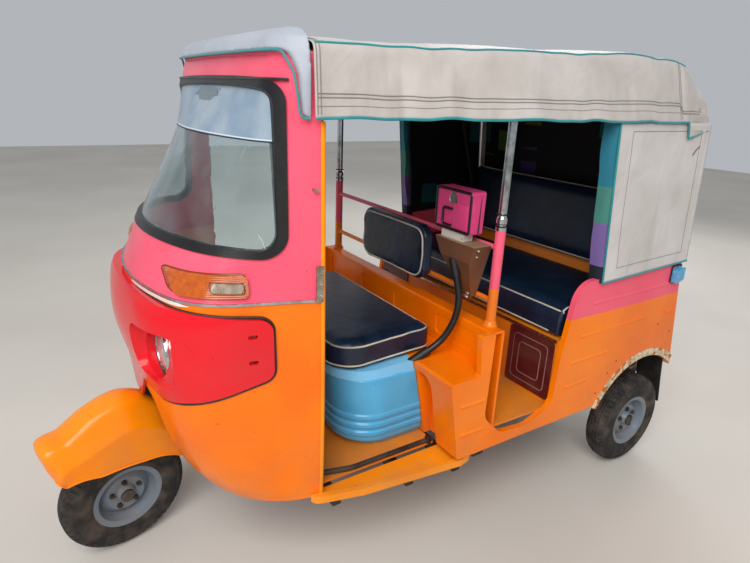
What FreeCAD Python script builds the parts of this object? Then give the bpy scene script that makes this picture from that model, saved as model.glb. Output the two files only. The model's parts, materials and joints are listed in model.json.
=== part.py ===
# Three-wheeled auto rickshaw: pressed steel cab and tub on two rails, a canvas canopy on posts and
# hoops, one steered front wheel on a one-sided fork, and two rear wheels on trailing arms.
# Millimetres. X points to the vehicle's left, Y backwards and Z up; the origin is on the ground, in
# the middle of the vehicle's box. "s" is the distance behind the front axle, so Y = s + FRONT_AXLE_Y.
import FreeCAD, Part
import math
import os

os.makedirs("parts", exist_ok=True)
V = FreeCAD.Vector

# Running gear
WHEELBASE = 2000.0
FRONT_AXLE_Y = -1035.0
REAR_TRACK = 1160.0
TYRE_RADIUS = 206.0
TYRE_HALF_WIDTH = 50.0
TREAD_HALF_WIDTH = 18.0
RIM_RADIUS = 116.0
RIM_HALF_WIDTH = 46.0
HUB_RADIUS = 34.0
DRUM_RADIUS = 84.0
DRUM_REACH = 50.0        # from the wheel's middle plane to the drum's back
STUB_RADIUS = 13.0
PIN_GAP = 0.3            # running clearance at bearings, pins and touching soft pieces

# Steering: the axis leans back and passes through the front wheel's centre
RAKE = math.radians(18.0)
PARKED_TURN = 13.0       # degrees to the left, as it stands
# Turned about a leaning axis, the front wheel leans too and stands on the edge of its tread
PARKED_LEAN = math.asin(math.sin(RAKE) * math.sin(math.radians(PARKED_TURN)))
FRONT_AXLE_Z = TYRE_RADIUS * math.cos(PARKED_LEAN) + TREAD_HALF_WIDTH * math.sin(PARKED_LEAN)
COLUMN_RADIUS = 19.0
COLUMN_FOOT = 300.0      # along the axis from the wheel's centre
COLUMN_HEAD = 780.0
JACKET_FOOT = 452.0
JACKET_HEAD = 740.0
JACKET_WALL = 9.0
BAR_RADIUS = 12.0
GRIP_RADIUS = 16.0
GRIP_REACH = 265.0
GRIP_SWEEP = math.radians(34.0)

# Cab shell
DOOR_S = 511.0           # rear edge of the cab shell, where the driver's doorway begins
CAB_WALL = 22.0
APRON_FOOT_Z = 340.0
BELT_Z = 1000.0
CAB_TOP_Z = 1640.0
WELL_HALF_WIDTH = 226.0
WELL_TOP_Z = 648.0
WELL_WALL = 8.0
WELL_BACK_S = 330.0
SEAL_WIDTH = 24.0
SEAL_PROUD = 7.0
GLASS_DEPTH = 5.0
GLASS_THICKNESS = 5.0
LAMP_X = 255.0
LAMP_Z = 826.0
LAMP_RADIUS = 76.0
LAMP_S = 128.0
SHIELD_TIP_Z = 582.0
SCREW_SLOT_S = 318.0
SCREW_SLOT_X = 462.0
SCREW_SLOT_ZS = (839.0, 915.0)
SHIELD_THICKNESS = 8.0
DASH_EDGE_S = 205.0

# Studs that the mirrors were bolted to
STUD_X = 514.0
STUD_S = 488.0
STUD_Z = 1308.0
STUD_RADIUS = 5.0

# Floors and rails
RAIL_X = 250.0
RAIL_WIDTH = 40.0
RAIL_DEPTH = 65.0
RAIL_REAR_S = WHEELBASE + 185
MEMBER_WIDTH = 50.0
LAST_MEMBER_S = RAIL_REAR_S - MEMBER_WIDTH / 2
SHEET = 10.0
DRIVER_FLOOR_Z = 365.0
PASSENGER_FLOOR_Z = 440.0
FLOOR_EDGE_X = 478.0
STEP_BOARD_Z = 352.0
STEP_BOARD_DEPTH = 26.0
FOOT_RAIL_RADIUS = 9.0

# Tub
TUB_FRONT_X = 609.0
TUB_REAR_X = 625.0
TUB_WALL = 22.0
TUB_FOOT_Z = 366.0
BOX_FRONT_S = 922.0
BOX_TOP_Z = 672.0
POST_S = 1139.0
POST_X = 538.0
POST_RADIUS = 17.0
PARTITION_FRONT_S = 1095.0
PARTITION_REAR_S = 1156.0
PARTITION_TOP_Z = 812.0
BENCH_FRONT_S = WHEELBASE - 550
BENCH_TOP_Z = 705.0
BENCH_REAR_S = WHEELBASE - 40
SHELF_S = WHEELBASE + 34
SHELF_Z = 948.0
BACK_HALF_WIDTH = 555.0
ARCH_RADIUS = 318.0
ARCH_INNER_X = REAR_TRACK / 2 - 98
ARCH_SHEET = 8.0
RIB_RADIUS = 9.0
RIB_SINK = -5.0          # from the side's face to a rib's middle line
TUB_TOP_FRONT_Z = 932.0
TUB_TOP_REAR_Z = 958.0
REAR_FOOT_S = WHEELBASE + 232
REAR_TOP_S = WHEELBASE + 126
BEHIND_S = WHEELBASE + 400  # clear of the tub, for shapes cut off behind it
HOOD_HALF_WIDTH = 400.0
HOOD_FOOT_Z = 470.0
HOOD_TOP_Z = 900.0
HOOD_GAP = 6.0
HINGE_RADIUS = 8.0
HINGE_PIN_RADIUS = 4.0
HINGE_CLEARANCE = 0.1

# Posts and bars
POST_COLLAR_Z = 1145.0
UPPER_BAR_Z = 1085.0
LOWER_BAR_Z = 901.0
BAR_TUBE_RADIUS = 9.0
CHROME_RADIUS = 14.0
CHROME_TOP_Z = 1590.0

# Canopy
CANOPY_FRONT_S = 478.0
CANOPY_EDGE_X = 645.0
CANOPY_EDGE_Z = 1494.0
CANOPY_CLOTH = 10.0
HOOP_RADIUS = 11.0
HOOP_FOOT_Z = 1520.0
HOOP_CORNER = 60.0
QUARTER_FRONT_S = WHEELBASE - 440
QUARTER_THICKNESS = 8.0


def at(x, s, z):
    """A point x to the left, s behind the front axle and z above the ground."""
    return V(x, FRONT_AXLE_Y + s, z)


def line(a, b):
    return Part.LineSegment(a, b).toShape()


def arc(a, middle, b):
    return Part.Arc(a, middle, b).toShape()


def rounded_wire(corners):
    """A closed wire of straight sides; each corner is (point, radius) and is rounded by that radius."""
    count = len(corners)
    begins, ends, middles = [], [], []
    for i, (p, radius) in enumerate(corners):
        if radius <= 0:
            begins.append(p)
            ends.append(p)
            middles.append(None)
            continue
        u = corners[i - 1][0].sub(p).normalize()
        w = corners[(i + 1) % count][0].sub(p).normalize()
        half = u.getAngle(w) / 2
        reach = radius / math.tan(half)
        bisector = u.add(w).normalize()
        begins.append(p + u * reach)
        ends.append(p + w * reach)
        middles.append(p + bisector * (radius / math.sin(half) - radius))
    edges = []
    for i in range(count):
        if middles[i] is not None:
            edges.append(arc(begins[i], middles[i], ends[i]))
        following = begins[(i + 1) % count]
        if ends[i].distanceToPoint(following) > 1e-6:
            edges.append(line(ends[i], following))
    return Part.Wire(edges)


def side_prism(corners, x0, x1):
    """A side view of (s, z, radius) corners, drawn across from x0 to x1."""
    wire = rounded_wire([(at(x0, s, z), r) for s, z, r in corners])
    return Part.Face(wire).extrude(V(x1 - x0, 0, 0))


def plan_prism(corners, z0, z1):
    """A plan of (x, s, radius) corners, drawn up from z0 to z1."""
    wire = rounded_wire([(at(x, s, z0), r) for x, s, r in corners])
    return Part.Face(wire).extrude(V(0, 0, z1 - z0))


def front_prism(corners, s0, s1):
    """A front view of (x, z, radius) corners, drawn back from s0 to s1."""
    wire = rounded_wire([(at(x, s0, z), r) for x, z, r in corners])
    return Part.Face(wire).extrude(V(0, s1 - s0, 0))


def block(x0, x1, s0, s1, z0, z1):
    return Part.makeBox(x1 - x0, s1 - s0, z1 - z0, at(x0, s0, z0))


def bent_sheet(path, thickness):
    """The outline of a sheet bent along a side-view path of (s, z), thickness to its right."""
    normals = []
    for (s0, z0), (s1, z1) in zip(path, path[1:]):
        length = math.hypot(s1 - s0, z1 - z0)
        normals.append(((z1 - z0) / length, -(s1 - s0) / length))
    offset = []
    for i, (s, z) in enumerate(path):
        before = normals[max(i - 1, 0)]
        after = normals[min(i, len(normals) - 1)]
        ms, mz = before[0] + after[0], before[1] + after[1]
        scale = thickness * 2 / (ms * ms + mz * mz)
        offset.append((s + ms * scale, z + mz * scale))
    return [(s, z, 0) for s, z in path + offset[::-1]]


def tube(points, radius, bend=None):
    """A round bar along straight runs joined by tangent arcs of the bend radius.

    With no bend given, each arc reaches 0.45 of the shorter of its two runs."""
    edges = []
    start = points[0]
    for before, p, after in zip(points, points[1:], points[2:]):
        u = before.sub(p).normalize()
        w = after.sub(p).normalize()
        half = u.getAngle(w) / 2
        shorter = min(before.distanceToPoint(p), after.distanceToPoint(p))
        reach = 0.45 * shorter if bend is None else bend / math.tan(half)
        bisector = u.add(w).normalize()
        arc_radius = reach * math.tan(half)
        a, b = p + u * reach, p + w * reach
        edges.append(line(start, a))
        edges.append(arc(a, p + bisector * (arc_radius / math.sin(half) - arc_radius), b))
        start = b
    edges.append(line(start, points[-1]))
    circle = Part.Wire(Part.makeCircle(radius, points[0], points[1].sub(points[0])))
    return Part.Wire(edges).makePipeShell([circle], True, True)


def rod(a, b, radius):
    return Part.makeCylinder(radius, a.distanceToPoint(b), a, b.sub(a))


def turned(profile, centre, axis, across):
    """A profile of (radius, height) corners turned about an axis through the centre."""
    points = [centre + across * r + axis * h for r, h in profile]
    return Part.Face(Part.makePolygon(points + points[:1])).revolve(centre, axis, 360)


def mirrored(shape):
    return shape.mirror(V(0, 0, 0), V(1, 0, 0))


def both_sides(shape):
    """The shape and its mirror image, as two solids of one node."""
    return Part.makeCompound([shape, mirrored(shape)])


def one_solid(shape):
    """The solids of a boolean result, merged along their common faces."""
    result = shape.removeSplitter()
    solids = result.Solids
    return solids[0] if len(solids) == 1 else Part.makeCompound(solids)


NODES = {}


# Cab shell. Its plan at each height is a front arc, a corner arc and a straight side, all tangent.
# z, s at the nose, x and s where the front arc ends, x at the door edge, angle of the side (degrees)
APRON_ROWS = [
    (APRON_FOOT_Z, 205, 250, 228, 506, 78),
    (450, 140, 260, 158, 510, 79),
    (600, 97, 270, 112, 512, 79),
    (780, 90, 280, 110, 512, 76),
    (BELT_Z, 88, 300, 140, 510, 73),
]
SCREEN_ROWS = [
    (BELT_Z, 88, 300, 140, 510, 73),
    (1150, 150, 300, 220, 508, 66),
    (1350, 262, 345, 331, 505, 70),
    (1575, 385, 380, 398, 500, 70),
    (CAB_TOP_Z, 402, 380, 415, 498, 70),
]
BEZEL_ROWS = [
    (540, 94, 262, 108, 520, 79),
    (630, 83, 266, 102, 522, 79),
    (710, 72, 270, 94, 523, 77),
    (800, 50, 258, 80, 523, 76),
    (910, 44, 215, 64, 521, 76),
    (1010, 66, 205, 91, 519, 75),
]


def cab_wire(row, inset, rear_s):
    """One plan of the cab, moved inwards by the inset and closed straight across at rear_s."""
    z, s_nose, x_front, s_front, x_door, side_angle = row
    rise = s_front - s_nose
    front_radius = (x_front ** 2 + rise ** 2) / (2 * rise)
    turn = math.asin(x_front / front_radius)
    side = math.radians(side_angle)
    span = math.sin(side - turn)
    reach = ((x_door - x_front) * math.sin(side) - (DOOR_S - s_front) * math.cos(side)) / span
    corner_radius = reach / math.tan((side - turn) / 2)
    corner = (x_front - corner_radius * math.sin(turn), s_front + corner_radius * math.cos(turn))
    small = corner_radius - inset

    def on_corner(angle):
        return corner[0] + small * math.sin(angle), corner[1] - small * math.cos(angle)

    a, m, b = on_corner(turn), on_corner((turn + side) / 2), on_corner(side)
    w = (b[0] + (rear_s - b[1]) / math.tan(side), rear_s)
    nose = at(0, s_nose + inset, z)
    left = [at(p[0], p[1], z) for p in (w, b, m, a)]
    right = [at(-p[0], p[1], z) for p in (w, b, m, a)]
    return Part.Wire([
        line(right[0], right[1]), arc(right[1], right[2], right[3]), arc(right[3], nose, left[3]),
        arc(left[3], left[2], left[1]), line(left[1], left[0]), line(left[0], right[0])])


def cab_loft(rows, inset=0.0, rear_s=DOOR_S, foot=0.0, head=0.0):
    """A solid through the rows; foot and head move its lowest and highest plan in z."""
    moved = list(rows)
    moved[0] = (rows[0][0] - foot,) + rows[0][1:]
    moved[-1] = (rows[-1][0] + head,) + rows[-1][1:]
    return Part.makeLoft([cab_wire(row, inset, rear_s) for row in moved], True, False)


OPEN_REAR_S = DOOR_S + 30
APRON_OUTER = cab_loft(APRON_ROWS)
APRON_INNER = cab_loft(APRON_ROWS, CAB_WALL, OPEN_REAR_S, foot=5, head=5)
SCREEN_OUTER = cab_loft(SCREEN_ROWS)
SCREEN_INNER = cab_loft(SCREEN_ROWS, CAB_WALL, OPEN_REAR_S, foot=5, head=-20)


def well_prism(half_width, top_z, s0, s1):
    """The front wheel's well, seen from the front as an arch."""
    foot = APRON_FOOT_Z - 60
    return front_prism([(-half_width, foot, 0), (-half_width, top_z, 90),
                        (half_width, top_z, 90), (half_width, foot, 0)], s0, s1)


def lamp_bore(x):
    return rod(at(x, -80, LAMP_Z), at(x, LAMP_S + 90, LAMP_Z), LAMP_RADIUS)


apron = APRON_OUTER.cut(APRON_INNER).cut(well_prism(WELL_HALF_WIDTH, WELL_TOP_Z, -100, 480))
for lamp_x in (LAMP_X, -LAMP_X):
    apron = apron.cut(lamp_bore(lamp_x))
NODES["cowl_lower"] = one_solid(apron)


def screen_outline(shrink, x=600):
    """The windscreen's opening in the side view, which wraps round to both sides."""
    return side_prism([(-120, 1149 + shrink, 0), (424 - shrink, 1118 + shrink, 70 - shrink),
                       (426 - shrink, 1584 - shrink, 64 - shrink), (-120, 1590 - shrink, 0)], -x, x)


screen_shell = SCREEN_OUTER.cut(SCREEN_INNER)
NODES["cowl_upper"] = one_solid(screen_shell.cut(screen_outline(0)))

seal_band = cab_loft(SCREEN_ROWS, -SEAL_PROUD).cut(cab_loft(SCREEN_ROWS, 14, OPEN_REAR_S, 5, 5))
seal = seal_band.common(screen_outline(0)).cut(screen_outline(SEAL_WIDTH))
NODES["windscreen_seal"] = one_solid(seal)

glass_band = cab_loft(SCREEN_ROWS, GLASS_DEPTH).cut(
    cab_loft(SCREEN_ROWS, GLASS_DEPTH + GLASS_THICKNESS, OPEN_REAR_S, 5, 5))
NODES["windscreen"] = one_solid(glass_band.common(screen_outline(SEAL_WIDTH)))

# The wheel well is a dark arch-shaped tunnel with the steering head's jacket through its roof
AXIS = V(0, math.sin(RAKE), math.cos(RAKE))
WHEEL_CENTRE = at(0, 0, FRONT_AXLE_Z)


def on_axis(distance):
    return WHEEL_CENTRE + AXIS * distance


tunnel = well_prism(WELL_HALF_WIDTH, WELL_TOP_Z, 80, WELL_BACK_S).cut(
    well_prism(WELL_HALF_WIDTH - WELL_WALL, WELL_TOP_Z - WELL_WALL, 70, WELL_BACK_S - WELL_WALL))
tunnel = tunnel.common(cab_loft(APRON_ROWS, 0, OPEN_REAR_S))
tunnel = tunnel.cut(block(-300, 300, 0, 500, 200, DRIVER_FLOOR_Z - SHEET))
jacket = rod(on_axis(JACKET_FOOT), on_axis(JACKET_HEAD), COLUMN_RADIUS + PIN_GAP + JACKET_WALL)
well = tunnel.fuse(jacket).cut(rod(on_axis(200), on_axis(900), COLUMN_RADIUS + PIN_GAP))
NODES["wheel_well"] = one_solid(well)

# Studs for the mirrors, on the cab's sides just ahead of the doorways
mirror_stud = rod(at(STUD_X - 40, STUD_S, STUD_Z), at(STUD_X, STUD_S, STUD_Z), STUD_RADIUS)
mirror_stud = max(mirror_stud.cut(SCREEN_OUTER).Solids, key=lambda piece: piece.BoundBox.XMax)
NODES["mirror_studs"] = both_sides(mirror_stud)

# Indicators and the headlamp moulding lie on the shell's outer surface
lens = side_prism([(150, 1022, 12), (318, 1024, 14), (318, 1084, 14), (150, 1076, 12)], 240, 520)
indicator = cab_loft(SCREEN_ROWS, -14).cut(SCREEN_OUTER).common(lens)
NODES["front_indicators"] = both_sides(one_solid(indicator))

pods = cab_loft(BEZEL_ROWS).cut(APRON_OUTER).cut(SCREEN_OUTER)
pods = pods.common(side_prism([(-60, 704, 0), (110, 704, 60), (372, 786, 36), (372, 958, 36),
                               (60, 990, 30), (-60, 990, 0)], -600, 600))
shield_front = front_prism([(-158, 706, 0), (-44, SHIELD_TIP_Z, 30), (44, SHIELD_TIP_Z, 30),
                            (158, 706, 0)], -60, 300)
shield = cab_loft(BEZEL_ROWS).cut(cab_loft(BEZEL_ROWS, SHIELD_THICKNESS, OPEN_REAR_S, 5, 5))
shield = shield.common(shield_front).cut(APRON_OUTER)
recess = front_prism([(168, 748, 40), (410, 748, 70), (410, 904, 50), (168, 904, 40)], -100, LAMP_S)
moulding = pods.fuse(shield).cut(recess).cut(mirrored(recess))
for lamp_x in (LAMP_X, -LAMP_X):
    moulding = moulding.cut(lamp_bore(lamp_x))
for slot_z in SCREW_SLOT_ZS:
    slot = side_prism([(SCREW_SLOT_S - 13, slot_z - 6, 5.5), (SCREW_SLOT_S + 13, slot_z - 6, 5.5),
                       (SCREW_SLOT_S + 13, slot_z + 6, 5.5), (SCREW_SLOT_S - 13, slot_z + 6, 5.5)],
                      SCREW_SLOT_X, 560)
    moulding = moulding.cut(slot).cut(mirrored(slot))
NODES["headlamp_moulding"] = one_solid(moulding)

lamp_profile = [(0, -14), (40, -9), (LAMP_RADIUS, 6), (LAMP_RADIUS, 16), (52, 54), (0, 70)]
headlamp = turned(lamp_profile, at(LAMP_X, LAMP_S, LAMP_Z), V(0, 1, 0), V(1, 0, 0))
NODES["headlamps"] = both_sides(headlamp)

dash = side_prism(bent_sheet([(60, 1078), (DASH_EDGE_S, 1072), (DASH_EDGE_S + 5, 1048)], -12),
                  -560, 560)
NODES["dashboard"] = one_solid(dash.common(SCREEN_INNER))

# Chassis: two rails, cross members and the engine's carrier
RAIL_TOP_Z = DRIVER_FLOOR_Z - SHEET
chassis = None
for side in (-1, 1):
    x = side * RAIL_X
    rail = block(x - RAIL_WIDTH / 2, x + RAIL_WIDTH / 2, 345, RAIL_REAR_S,
                 RAIL_TOP_Z - RAIL_DEPTH, RAIL_TOP_Z)
    chassis = rail if chassis is None else chassis.fuse(rail)
# s of the middle, half length, depth
for s, half, depth in [(440, 440, 45), (760, 430, 45), (1120, 570, 45), (BENCH_FRONT_S + 150, 470, 45),
                       (LAST_MEMBER_S, 500, 50)]:
    chassis = chassis.fuse(block(-half, half, s - MEMBER_WIDTH / 2, s + MEMBER_WIDTH / 2,
                                 RAIL_TOP_Z - depth, RAIL_TOP_Z))
for s, half in [(560, 520), (820, 560), (1010, 580)]:
    chassis = chassis.fuse(block(-half, half, s - 15, s + 15, RAIL_TOP_Z - RAIL_DEPTH,
                                 STEP_BOARD_Z - STEP_BOARD_DEPTH))
NODES["chassis_frame"] = one_solid(chassis)

# The tub's plan tapers a little towards its front; x, s, radius of the outside
TUB_PLAN = [(TUB_FRONT_X, BOX_FRONT_S - 100, 0), (TUB_REAR_X, 1700, 0), (TUB_REAR_X - 2, REAR_FOOT_S + 68, 0)]


def tub_prism(inset, z0, z1):
    """The tub's plan, moved inwards by the inset and drawn up from z0 to z1."""
    left = [(x - inset, s, r) for x, s, r in TUB_PLAN]
    return plan_prism(left + [(-x, s, r) for x, s, r in reversed(left)], z0, z1)


outer_plan = tub_prism(0, 300, 1100)
inner_plan = tub_prism(TUB_WALL, 290, 1110)

# Floor pan and step boards
floor = block(-FLOOR_EDGE_X, FLOOR_EDGE_X, WELL_BACK_S, 978, RAIL_TOP_Z, DRIVER_FLOOR_Z)
front_limit = cab_loft(APRON_ROWS, CAB_WALL, OPEN_REAR_S, foot=5)
behind_door = block(-700, 700, DOOR_S, 1500, 300, 700)
floor = floor.common(front_limit.fuse(behind_door))
passenger_floor = block(-TUB_REAR_X, TUB_REAR_X, PARTITION_REAR_S, BENCH_FRONT_S,
                        PASSENGER_FLOOR_Z - SHEET, PASSENGER_FLOOR_Z).common(inner_plan)
NODES["floor_pan"] = Part.makeCompound([one_solid(floor), one_solid(passenger_floor)])

board = plan_prism([(FLOOR_EDGE_X + PIN_GAP, 478, 0), (520, 474, 34), (562, 640, 0), (604, 1010, 20),
                    (590, 1072, 30), (FLOOR_EDGE_X + PIN_GAP, 1060, 0)],
                   STEP_BOARD_Z - STEP_BOARD_DEPTH, STEP_BOARD_Z)
tray = plan_prism([(FLOOR_EDGE_X - 20, 470, 0), (504, 492, 24), (546, 648, 0), (588, 1012, 14),
                   (576, 1062, 20), (FLOOR_EDGE_X - 20, 1062, 0)], STEP_BOARD_Z - 12, STEP_BOARD_Z + 9)
board = board.cut(tray)
apron_clear = cab_loft(APRON_ROWS, -1, DOOR_S, foot=40)
NODES["step_boards"] = both_sides(one_solid(board.cut(apron_clear)))

foot_rail = tube([at(446, 524, 374), at(476, 640, 374), at(476, 975, 374)], FOOT_RAIL_RADIUS, 120)
NODES["foot_rails"] = both_sides(foot_rail)

# Tub: side walls with their front boxes, sills and arches, and the rear wall, cut from one shell
tub_outline = [(978, TUB_FOOT_Z, 8), (REAR_FOOT_S, TUB_FOOT_Z + 12, 20),
               (REAR_TOP_S, TUB_TOP_REAR_Z, 24), (BENCH_FRONT_S + 36, TUB_TOP_FRONT_Z, 90),
               (BENCH_FRONT_S - 10, 640, 0), (BENCH_FRONT_S - 22, 452, 60),
               (BENCH_FRONT_S - 150, 404, 120), (1170, 416, 70), (1086, 500, 60),
               (PARTITION_FRONT_S, PARTITION_TOP_Z + 8, 8), (1034, PARTITION_TOP_Z + 8, 10),
               (1046, BOX_TOP_Z, 8), (BOX_FRONT_S, BOX_TOP_Z, 10)]
lean = (REAR_FOOT_S - REAR_TOP_S) / (TUB_TOP_REAR_Z - TUB_FOOT_Z - 12)


def rear_face_s(z):
    """The rear wall's outer face at height z."""
    return REAR_FOOT_S - (z - TUB_FOOT_Z - 12) * lean


inner_outline = [(800, 200, 0), (rear_face_s(200) - TUB_WALL, 200, 0),
                 (rear_face_s(1200) - TUB_WALL, 1200, 0), (800, 1200, 0)]
tub = side_prism(tub_outline, -640, 640).common(outer_plan)
tub = tub.cut(side_prism(inner_outline, -640, 640).common(inner_plan))
arch = rod(at(ARCH_INNER_X, WHEELBASE, TYRE_RADIUS), at(700, WHEELBASE, TYRE_RADIUS), ARCH_RADIUS)
tub = tub.cut(arch).cut(mirrored(arch))


def tub_x(s):
    """The left side's outer face at s."""
    share = (s - BOX_FRONT_S + 100) / (1700 - BOX_FRONT_S + 100)
    return TUB_FRONT_X + (TUB_REAR_X - TUB_FRONT_X) * min(share, 1.0)


# Ribs pressed outwards in the sides: s and z at both ends
SIDE_RIBS = [
    (968, 575, 1076, 575), (976, 462, 1084, 462),
    (BENCH_FRONT_S + 125, 842, REAR_TOP_S - 21, 848), (BENCH_FRONT_S + 80, 716, BENCH_REAR_S - 20, 722),
    (BENCH_FRONT_S + 50, 612, WHEELBASE - 285, 616), (BENCH_FRONT_S + 38, 512, WHEELBASE - 388, 516),
    (WHEELBASE + 85, 716, WHEELBASE + 140, 718),
]
for s0, z0, s1, z1 in SIDE_RIBS:
    rib = rod(at(tub_x(s0) + RIB_SINK, s0, z0), at(tub_x(s1) + RIB_SINK, s1, z1), RIB_RADIUS)
    tub = tub.fuse(rib).fuse(mirrored(rib))
SEAM_X = 560.0           # where the side panels meet the rear wall
left_side = one_solid(tub.common(block(SEAM_X, 700, 800, BEHIND_S, 200, 1200)))
NODES["tub_left"] = left_side
NODES["tub_right"] = mirrored(left_side)
rear_wall = tub.common(block(-SEAM_X, SEAM_X, WHEELBASE - 100, BEHIND_S, 200, 1200))


def hood_prism(gap):
    half = HOOD_HALF_WIDTH - gap
    return front_prism([(-half, HOOD_FOOT_Z + gap, 50), (half, HOOD_FOOT_Z + gap, 50),
                        (half, HOOD_TOP_Z - gap, 30), (-half, HOOD_TOP_Z - gap, 30)],
                       WHEELBASE, BEHIND_S)


# The hood hangs on two hinges above its top edge: ears and a pin on the wall, a knuckle on the hood
HINGE_Z = HOOD_TOP_Z + 10
HINGE_S = rear_face_s(HINGE_Z) + HINGE_RADIUS + 2
HINGE_XS = (-300.0, 300.0)


def hinge_barrel(x, half_length, radius):
    return rod(at(x - half_length, HINGE_S, HINGE_Z), at(x + half_length, HINGE_S, HINGE_Z), radius)


wall = rear_wall.cut(hood_prism(0))
hood = rear_wall.common(hood_prism(HOOD_GAP))
for x in HINGE_XS:
    for ear_x in (x - 23, x + 23):
        ear = side_prism([(rear_face_s(HINGE_Z + 9) - 6, HINGE_Z + 9, 0), (HINGE_S, HINGE_Z + 9, 0),
                          (HINGE_S + 9, HINGE_Z, 0), (HINGE_S, HINGE_Z - 9, 0),
                          (rear_face_s(HINGE_Z - 9) - 6, HINGE_Z - 9, 0)], ear_x - 4, ear_x + 4)
        wall = wall.fuse(ear)
    wall = wall.fuse(hinge_barrel(x, 27, HINGE_PIN_RADIUS))
    leaf = side_prism([(rear_face_s(850) - 4, 850, 0), (rear_face_s(850) + 5, 850, 0),
                       (HINGE_S + 2, HINGE_Z, 0), (HINGE_S - 4, HINGE_Z, 0),
                       (rear_face_s(890) + 1, 890, 0), (rear_face_s(886) - 4, 886, 0)], x - 17, x + 17)
    knuckle = hinge_barrel(x, 17, HINGE_RADIUS).fuse(leaf)
    hood = hood.fuse(knuckle).cut(hinge_barrel(x, 18, HINGE_PIN_RADIUS + HINGE_CLEARANCE))
NODES["rear_wall"] = one_solid(wall)
NODES["engine_hood"] = one_solid(hood)

# Wheelhouses over the rear wheels
wheelhouse = rod(at(ARCH_INNER_X - ARCH_SHEET, WHEELBASE, TYRE_RADIUS),
                 at(TUB_REAR_X - TUB_WALL, WHEELBASE, TYRE_RADIUS), ARCH_RADIUS + ARCH_SHEET)
wheelhouse = wheelhouse.cut(arch)
wheelhouse = wheelhouse.cut(block(ARCH_INNER_X - 82, 700, WHEELBASE - 500, BEHIND_S, 0,
                                  RAIL_TOP_Z + 11))
wheelhouse = wheelhouse.common(side_prism(inner_outline, 400, 640)).common(inner_plan)
NODES["wheelhouses"] = both_sides(one_solid(wheelhouse))

# Partition: a step box and a boxed bulkhead across the tub
box_outline = [(978, TUB_FOOT_Z, 4), (BOX_FRONT_S, BOX_TOP_Z, 10), (PARTITION_FRONT_S, BOX_TOP_Z, 0),
               (PARTITION_FRONT_S, PARTITION_TOP_Z, 6), (PARTITION_REAR_S, PARTITION_TOP_Z, 10),
               (PARTITION_REAR_S, TUB_FOOT_Z, 0)]
box_inside = [(996, TUB_FOOT_Z - 20, 0), (BOX_FRONT_S + 12, BOX_TOP_Z - SHEET, 0),
              (PARTITION_FRONT_S + SHEET, BOX_TOP_Z - SHEET, 0),
              (PARTITION_FRONT_S + SHEET, PARTITION_TOP_Z - SHEET, 0),
              (PARTITION_REAR_S - SHEET, PARTITION_TOP_Z - SHEET, 0),
              (PARTITION_REAR_S - SHEET, TUB_FOOT_Z - 20, 0)]


def box_recess(grow):
    """The hollow in the box's front beside the seat, or that hollow grown by its sheet."""
    half = front_prism([(424 - grow, 300, 0), (498 + grow, 300, 0), (498 + grow, 640 + grow, 50),
                        (424 - grow, 640 + grow, 0)], 880, 1010 + grow)
    return half.fuse(mirrored(half))


box_hollow = side_prism(box_inside, -TUB_REAR_X, TUB_REAR_X).cut(box_recess(SHEET))
partition = side_prism(box_outline, -TUB_REAR_X, TUB_REAR_X).cut(box_recess(0)).cut(
    box_hollow).common(inner_plan)
for x0, x1 in [(-520, -300), (-240, -20), (20, 240), (300, 520)]:
    panel = front_prism([(x0, BOX_TOP_Z + 34, 18), (x1, BOX_TOP_Z + 34, 18),
                         (x1, PARTITION_TOP_Z - 30, 18), (x0, PARTITION_TOP_Z - 30, 18)],
                        PARTITION_FRONT_S - 5, PARTITION_FRONT_S + 4)
    partition = partition.cut(panel)
NODES["partition"] = one_solid(partition)

# Posts with their two cross bars, and the plated uppers
lower = None
for side in (-1, 1):
    post = rod(at(side * POST_X, POST_S, PARTITION_TOP_Z), at(side * POST_X, POST_S, POST_COLLAR_Z),
               POST_RADIUS)
    lower = post if lower is None else lower.fuse(post)
for z in (UPPER_BAR_Z, LOWER_BAR_Z):
    lower = lower.fuse(rod(at(-POST_X, POST_S, z), at(POST_X, POST_S, z), BAR_TUBE_RADIUS))
NODES["post_frame"] = one_solid(lower)

chrome_profile = [(0, 0), (18, 0), (18, 12), (15, 15), (15, 21), (18, 24), (18, 40),
                  (CHROME_RADIUS, 48),
                  (CHROME_RADIUS, CHROME_TOP_Z - POST_COLLAR_Z), (0, CHROME_TOP_Z - POST_COLLAR_Z)]
NODES["chrome_posts"] = both_sides(
    turned(chrome_profile, at(POST_X, POST_S, POST_COLLAR_Z), V(0, 0, 1), V(1, 0, 0)))

# Driver's seat
SEAT_TOP_Z = BOX_TOP_Z


def seat_plan(z, half, front_s, rear_s, radius):
    return rounded_wire([(at(-half, front_s, z), radius), (at(half, front_s, z), radius),
                         (at(half, rear_s, z), 6), (at(-half, rear_s, z), 6)])


def box_face_s(z):
    """The step box's sloping front face at height z."""
    return BOX_FRONT_S + (BOX_TOP_Z - z) * (978 - BOX_FRONT_S) / (BOX_TOP_Z - TUB_FOOT_Z)


# z, half width, s of the front: a tapered skirt with pressed ribs, under a standing lip
SEAT_BASE_ROWS = [
    (DRIVER_FLOOR_Z, 396, 694), (392, 412, 672), (412, 414, 669), (418, 419, 664), (430, 419, 664),
    (436, 415, 667), (446, 416, 666), (452, 421, 661), (464, 421, 661), (470, 417, 665),
    (480, 418, 664), (486, 423, 659), (498, 423, 659), (504, 419, 662), (632, 414, 646),
    (636, 408, 640), (SEAT_TOP_Z, 406, 636),
]
NODES["driver_seat_base"] = Part.makeLoft([
    seat_plan(z, half, front_s, box_face_s(z) - PIN_GAP, 140)
    for z, half, front_s in SEAT_BASE_ROWS], True, True)

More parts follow.
